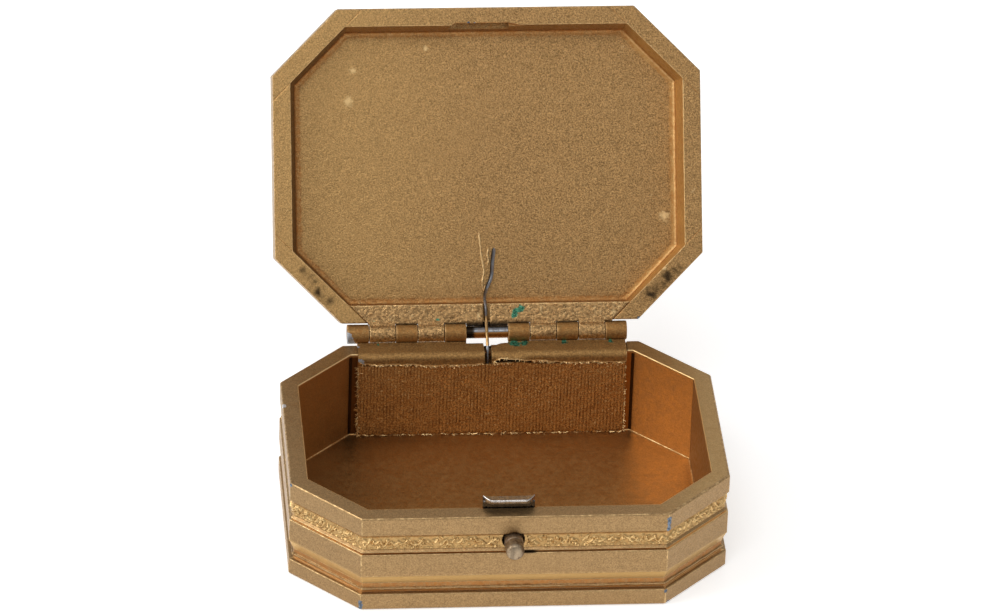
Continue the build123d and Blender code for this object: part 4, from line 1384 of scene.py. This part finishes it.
# ---------------------------------------------------------------- catch and button
def build_catch():
    """Flat spring: hooked upper edge with rounded ends, polished along its top."""
    inset = np.array([0.0, 0.03, 0.08, 0.2, 0.35, 0.5, 0.65, 0.8, 0.95, 1.1, 1.25])
    xs = np.concatenate([CATCH_X0 + inset, np.linspace(CATCH_X0 + 1.5, CATCH_X1 - 1.5, 22),
                         CATCH_X1 - inset[::-1]])
    head_back, nose, top, low, bevel = CATCH_Y + CATCH_T, CATCH_Y - 0.95, 16.5, 15.7, 0.13
    rings = []
    for x in xs:
        from_end = min(x - CATCH_X0, CATCH_X1 - x)
        share = 1 - (1 - min(from_end / 1.2, 1.0)) ** 1.7
        tip = head_back - 0.16 + (nose - head_back + 0.16) * share
        soft = 0.04 * (1 - min(from_end / 0.08, 1))
        y0, y1 = CATCH_Y + soft, head_back - soft
        # up the back
        ring = [(y0, 2.25), (y0 + 0.05, 2.2), (y1 - 0.05, 2.2), (y1, 2.25), (y1, 6.0), (y1, 11.0),
                (y1, top - 0.30), (y1 - 0.02, top - 0.24), (y1 - 0.05, top - 0.22)]
        # over the polished top to the bevelled nose
        flat = y1 - 0.06 - (y1 - 0.06 - tip - bevel) * np.linspace(0.0, 1.0, 5)
        ring += [(y, top - 0.15 * (y - flat[-1])) for y in flat]
        ring += [(tip + bevel * 0.45, top - bevel * 0.30), (tip + bevel * 0.1, top - bevel * 0.75),
                 (tip, top - bevel * 1.2)]
        # back under the hook and down the front
        under = tip + 0.24 * share
        root = y0 - 0.03 if tip < y0 - 0.3 else max(under + 0.01, y0)
        ring += [(tip + 0.20 * share, low + 0.04), (under, low), (root, low), (y0, low - 0.04),
                 (y0, 11.0), (y0, 6.0)]
        rings.append([(x, y, z) for y, z in ring])
    points, faces = lofted(np.array(rings))
    # painted shade under the nose and down the face against the front wall, and on the end caps
    shade = np.zeros((len(xs), len(ring)))
    shade[:, 18:] = 0.62
    shade[:, 17] = 0.35
    ends = np.full(len(points) - shade.size, 0.4)
    make("catch_hook", points, faces, "catch", mats["hook"], ["catch_leaf"], "steel", sharp=35,
         marks={"soot": np.concatenate([shade.ravel(), ends])})


build_catch()


def build_button():
    """Domed button on a plain shank, with a bright collar where it leaves the wall."""
    out = -HALF_D - BUTTON_OUT
    profile = [(out, 0.06), (out + 0.015, 0.35), (out + 0.05, 0.62), (out + 0.11, 0.82),
               (out + 0.20, 0.99), (out + 0.32, 1.11), (out + 0.47, 1.20), (out + 0.65, 1.245)]
    profile += [(y, BUTTON_R) for y in np.linspace(out + 0.85, -22.95, 5)]
    profile += [(-22.84, BUTTON_R), (-22.80, 1.28), (-22.72, 1.30), (-22.16, 1.30),
                (-22.10, 1.28), (-22.08, BUTTON_R)]
    profile += [(y, BUTTON_R) for y in np.linspace(-21.9, CATCH_Y - 0.01, 8)]
    rings = lathed(profile, (BUTTON_X, BUTTON_Z), "y", 64)
    rings[1:5, :, 1] += 0.012 * noise(rings[1:5], 0.5, 121)
    collar = (rings[..., 1] > -22.9) & (rings[..., 1] < -22.0)
    make("button", *lofted(rings), "catch", mats["button"], ["push_button"], "steel",
         marks={"silver": np.where(collar, 0.36, 0.0)})


build_button()


def build_rivets():
    parts = []
    y = CATCH_Y + CATCH_T + 0.08
    profile = [(-HALF_D + 0.92, RIVET_R - 0.02), (y - 0.02, RIVET_R - 0.02), (y, RIVET_R + 0.02),
               (y, 0.96), (y + 0.06, 1.0), (y + 0.18, 0.97), (y + 0.3, 0.82), (y + 0.38, 0.5),
               (y + 0.4, 0.15)]
    for x in RIVET_XS:
        parts.append((*lofted(lathed(profile, (x, RIVET_Z), "y")), {}))
    points, faces, _ = joined(parts)
    make("rivets", points, faces, "case", mats["steel"], ["catch_rivets"], "steel")


build_rivets()


# ---------------------------------------------------------------- wire
def smooth_path(knots, count):
    """Even points on a curve through the knots, and the share of its length at each."""
    chord = lengths(knots)
    slope = np.empty_like(knots)
    slope[1:-1] = (knots[2:] - knots[:-2]) / (chord[2:] - chord[:-2])[:, None]
    slope[0] = (knots[1] - knots[0]) / chord[1]
    slope[-1] = (knots[-1] - knots[-2]) / (chord[-1] - chord[-2])
    s = np.linspace(0, chord[-1], count)
    k = np.minimum(np.searchsorted(chord, s, side="right") - 1, len(knots) - 2)
    h = (chord[k + 1] - chord[k])[:, None]
    t = (s - chord[k])[:, None] / h
    path = (2 * t ** 3 - 3 * t ** 2 + 1) * knots[k] + (t ** 3 - 2 * t ** 2 + t) * h * slope[k] \
        + (3 * t ** 2 - 2 * t ** 3) * knots[k + 1] + (t ** 3 - t ** 2) * h * slope[k + 1]
    return path, s / chord[-1]


def build_wire():
    """Bent spring wire from behind the cloth strip onto the lid, flattened at its tip."""
    case_part = [(-0.55, 19.76, 6.0), (-0.55, 19.76, 9.0), (-0.55, 19.74, 12.0),
                 (-0.55, 20.30, 14.35), (-0.55, 22.00, 15.95)]
    lid_part = [(-0.55, 21.70, 15.40), (-0.62, 19.90, 15.45), (-0.62, 18.55, 16.60),
                (-0.21, 17.40, 17.95), (0.50, 15.75, 18.50), (0.69, 13.77, 18.55),
                (0.94, 11.72, 18.52)]
    knots = np.vstack([case_part, opened(np.array(lid_part))])
    path, share = smooth_path(knots, 260)
    t = unit(np.gradient(path, axis=0))
    side = unit(np.array([1.0, 0, 0]) - t * t[:, :1])
    taper = 1.0 - 0.45 * smooth((share - 0.985) / 0.015)
    wide = (0.22 + 0.06 * smooth((share - 0.70) / 0.06)) * taper
    rings = tube(path, t, side, wide, 0.24 * taper, 16)
    rings += 0.015 * np.stack([noise(rings, 0.5, 131 + k) for k in range(3)], -1)
    paint = 0.8 * smooth((rings[..., 2] - 15.0) / 0.3) * smooth((17.9 - rings[..., 2]) / 0.5) \
        + 0.35 * np.clip(noise(rings, 0.6, 135), 0, 1)
    # painted shadow on the left side of the flattened blade and painted highlight on its right side
    blade = smooth((share[:, None] - 0.66) / 0.04)
    facing = np.cos(circle(16))
    wire = make("wire_spring", *lofted(rings), None, mats["steel"],
                marks={"paint": paint, "soot": blade * np.clip(0.35 - facing, 0, 1) * 0.9,
                       "silver": blade * np.clip(facing - 0.2, 0, 1)})
    # the bend is spread over 3.2 mm of wire between the two parts
    step = knots[5] - knots[4]
    middle = (knots[4] + knots[5]) / 2 * 0.001
    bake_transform(wire)
    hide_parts("lid_spring")


build_wire()


def build_ridges():
    """Raised runs of paint beside the wire on the inside of the lid."""
    rng = np.random.default_rng(77)
    runs = [[(-1.15, 9.4), (-1.0, 11.0), (-0.85, 12.6), (-0.6, 14.0), (-0.5, 15.2), (-0.75, 16.4),
             (-0.7, 17.6)],
            [(0.15, 11.75), (0.05, 12.5), (0.2, 13.4), (0.05, 14.2)],
            [(-0.35, 16.9), (-0.5, 17.6), (-0.3, 18.3)],
            [(-11.5, 18.6), (-10.8, 18.55), (-10.1, 18.65)]]
    q = circle(8)
    ring = np.stack([np.cos(q), 0 * q, np.sin(q)], 1)
    parts = []
    for run in runs:
        count = len(run) * 7
        at = np.linspace(0, len(run) - 1, count)
        xs, ys = (np.interp(at, range(len(run)), line) for line in zip(*run))
        xs = xs + rng.normal(0, 0.02, count)
        path = np.stack([xs, ys, np.full(count, PANEL_Z0 - 0.01)], 1)
        from_end = np.minimum(np.arange(count), np.arange(count)[::-1])
        r = (0.12 + 0.05 * rng.random(count)) * np.minimum(1.0, 0.25 + from_end / 5.0)
        parts.append((*lofted(path[:, None] + r[:, None, None] * ring), {"wear": 0.62}))
    points, faces, marks = joined(parts)
    make("paint_ridges", points, faces, "lid", mats["lid"], slot="gilt_metal", lid=True,
         marks=marks)


build_ridges()


# ---------------------------------------------------------------- studio
def build_floor():
    """White paper sweep, lit a little from within, just below the case's feet."""
    g = Graph("paper_floor")
    soft = g.grain(40.0, 3.0, 0.5)
    colour = g.mix(g.step(soft, 0.3, 0.7), (0.92, 0.92, 0.92), (0.95, 0.95, 0.945))
    paper = g.surface(colour, 0.85, g.bump(g.grain(0.8, 2.0, 0.5), 0.004, 0.3), 0.0,
                      **{"Emission Color": (1.0, 1.0, 1.0, 1.0), "Emission Strength": 0.42})
    size, drop = 3.0, -2e-5
    mesh = bpy.data.meshes.new("floor")
    mesh.from_pydata([(x * size, y * size, drop) for x, y in
                      ((-1, -1), (1, -1), (1, 1), (-1, 1))], [], [(0, 1, 2, 3)])
    mesh.materials.append(paper)
    add_object("floor", mesh)


def build_light(name, place, size, radiance):
    """Rectangular soft light, facing the case."""
    data = bpy.data.lights.new(name, "AREA")
    data.shape = "RECTANGLE"
    data.size, data.size_y = size
    data.energy = radiance * math.pi * size[0] * size[1]
    lamp = add_object(name, data)
    lamp.location = place
    ahead = Vector((0, 0, 0.02)) - Vector(place)
    lamp.rotation_euler = ahead.to_track_quat("-Z", "Y").to_euler()


def build_camera():
    """Long lens from the front, a little left of the middle and 32 degrees above."""
    azimuth, elevation, roll = (math.radians(a) for a in (-5.653, 31.951, 2.083))
    target, distance = Vector((0.0001, 0.01168, 0.027)), 0.99906
    ahead = Vector((-math.sin(azimuth) * math.cos(elevation),
                    math.cos(azimuth) * math.cos(elevation), -math.sin(elevation)))
    right = Vector((math.cos(azimuth), math.sin(azimuth), 0))
    up = right.cross(ahead)
    right, up = (math.cos(roll) * right + math.sin(roll) * up,
                 math.cos(roll) * up - math.sin(roll) * right)
    data = bpy.data.cameras.new("camera")
    data.lens, data.sensor_width = 261.15, 36.0
    data.clip_start, data.clip_end = 0.05, 20.0
    cam = add_object("camera", data)
    cam.matrix_world = Matrix((right, up, -ahead)).transposed().to_4x4()
    cam.location = target - ahead * distance
    bpy.context.scene.camera = cam


def build_world():
    """Even white surround, and plain colour transform."""
    world = bpy.data.worlds.new("studio")
    world.use_nodes = True
    colour, strength = world.node_tree.nodes["Background"].inputs[:2]
    colour.default_value = (1.0, 1.0, 1.0, 1.0)
    strength.default_value = 0.52
    bpy.context.scene.world = world
    bpy.context.scene.view_settings.view_transform = "Standard"


build_floor()
build_light("key", (-0.68, -0.06, 0.44), (0.56, 0.56), 3.5)
build_light("back", (0.15, 1.05, 0.80), (1.10, 0.60), 0.32)
build_light("overhead", (-0.12, -0.42, 0.80), (0.50, 0.30), 3.4)
build_camera()
build_world()
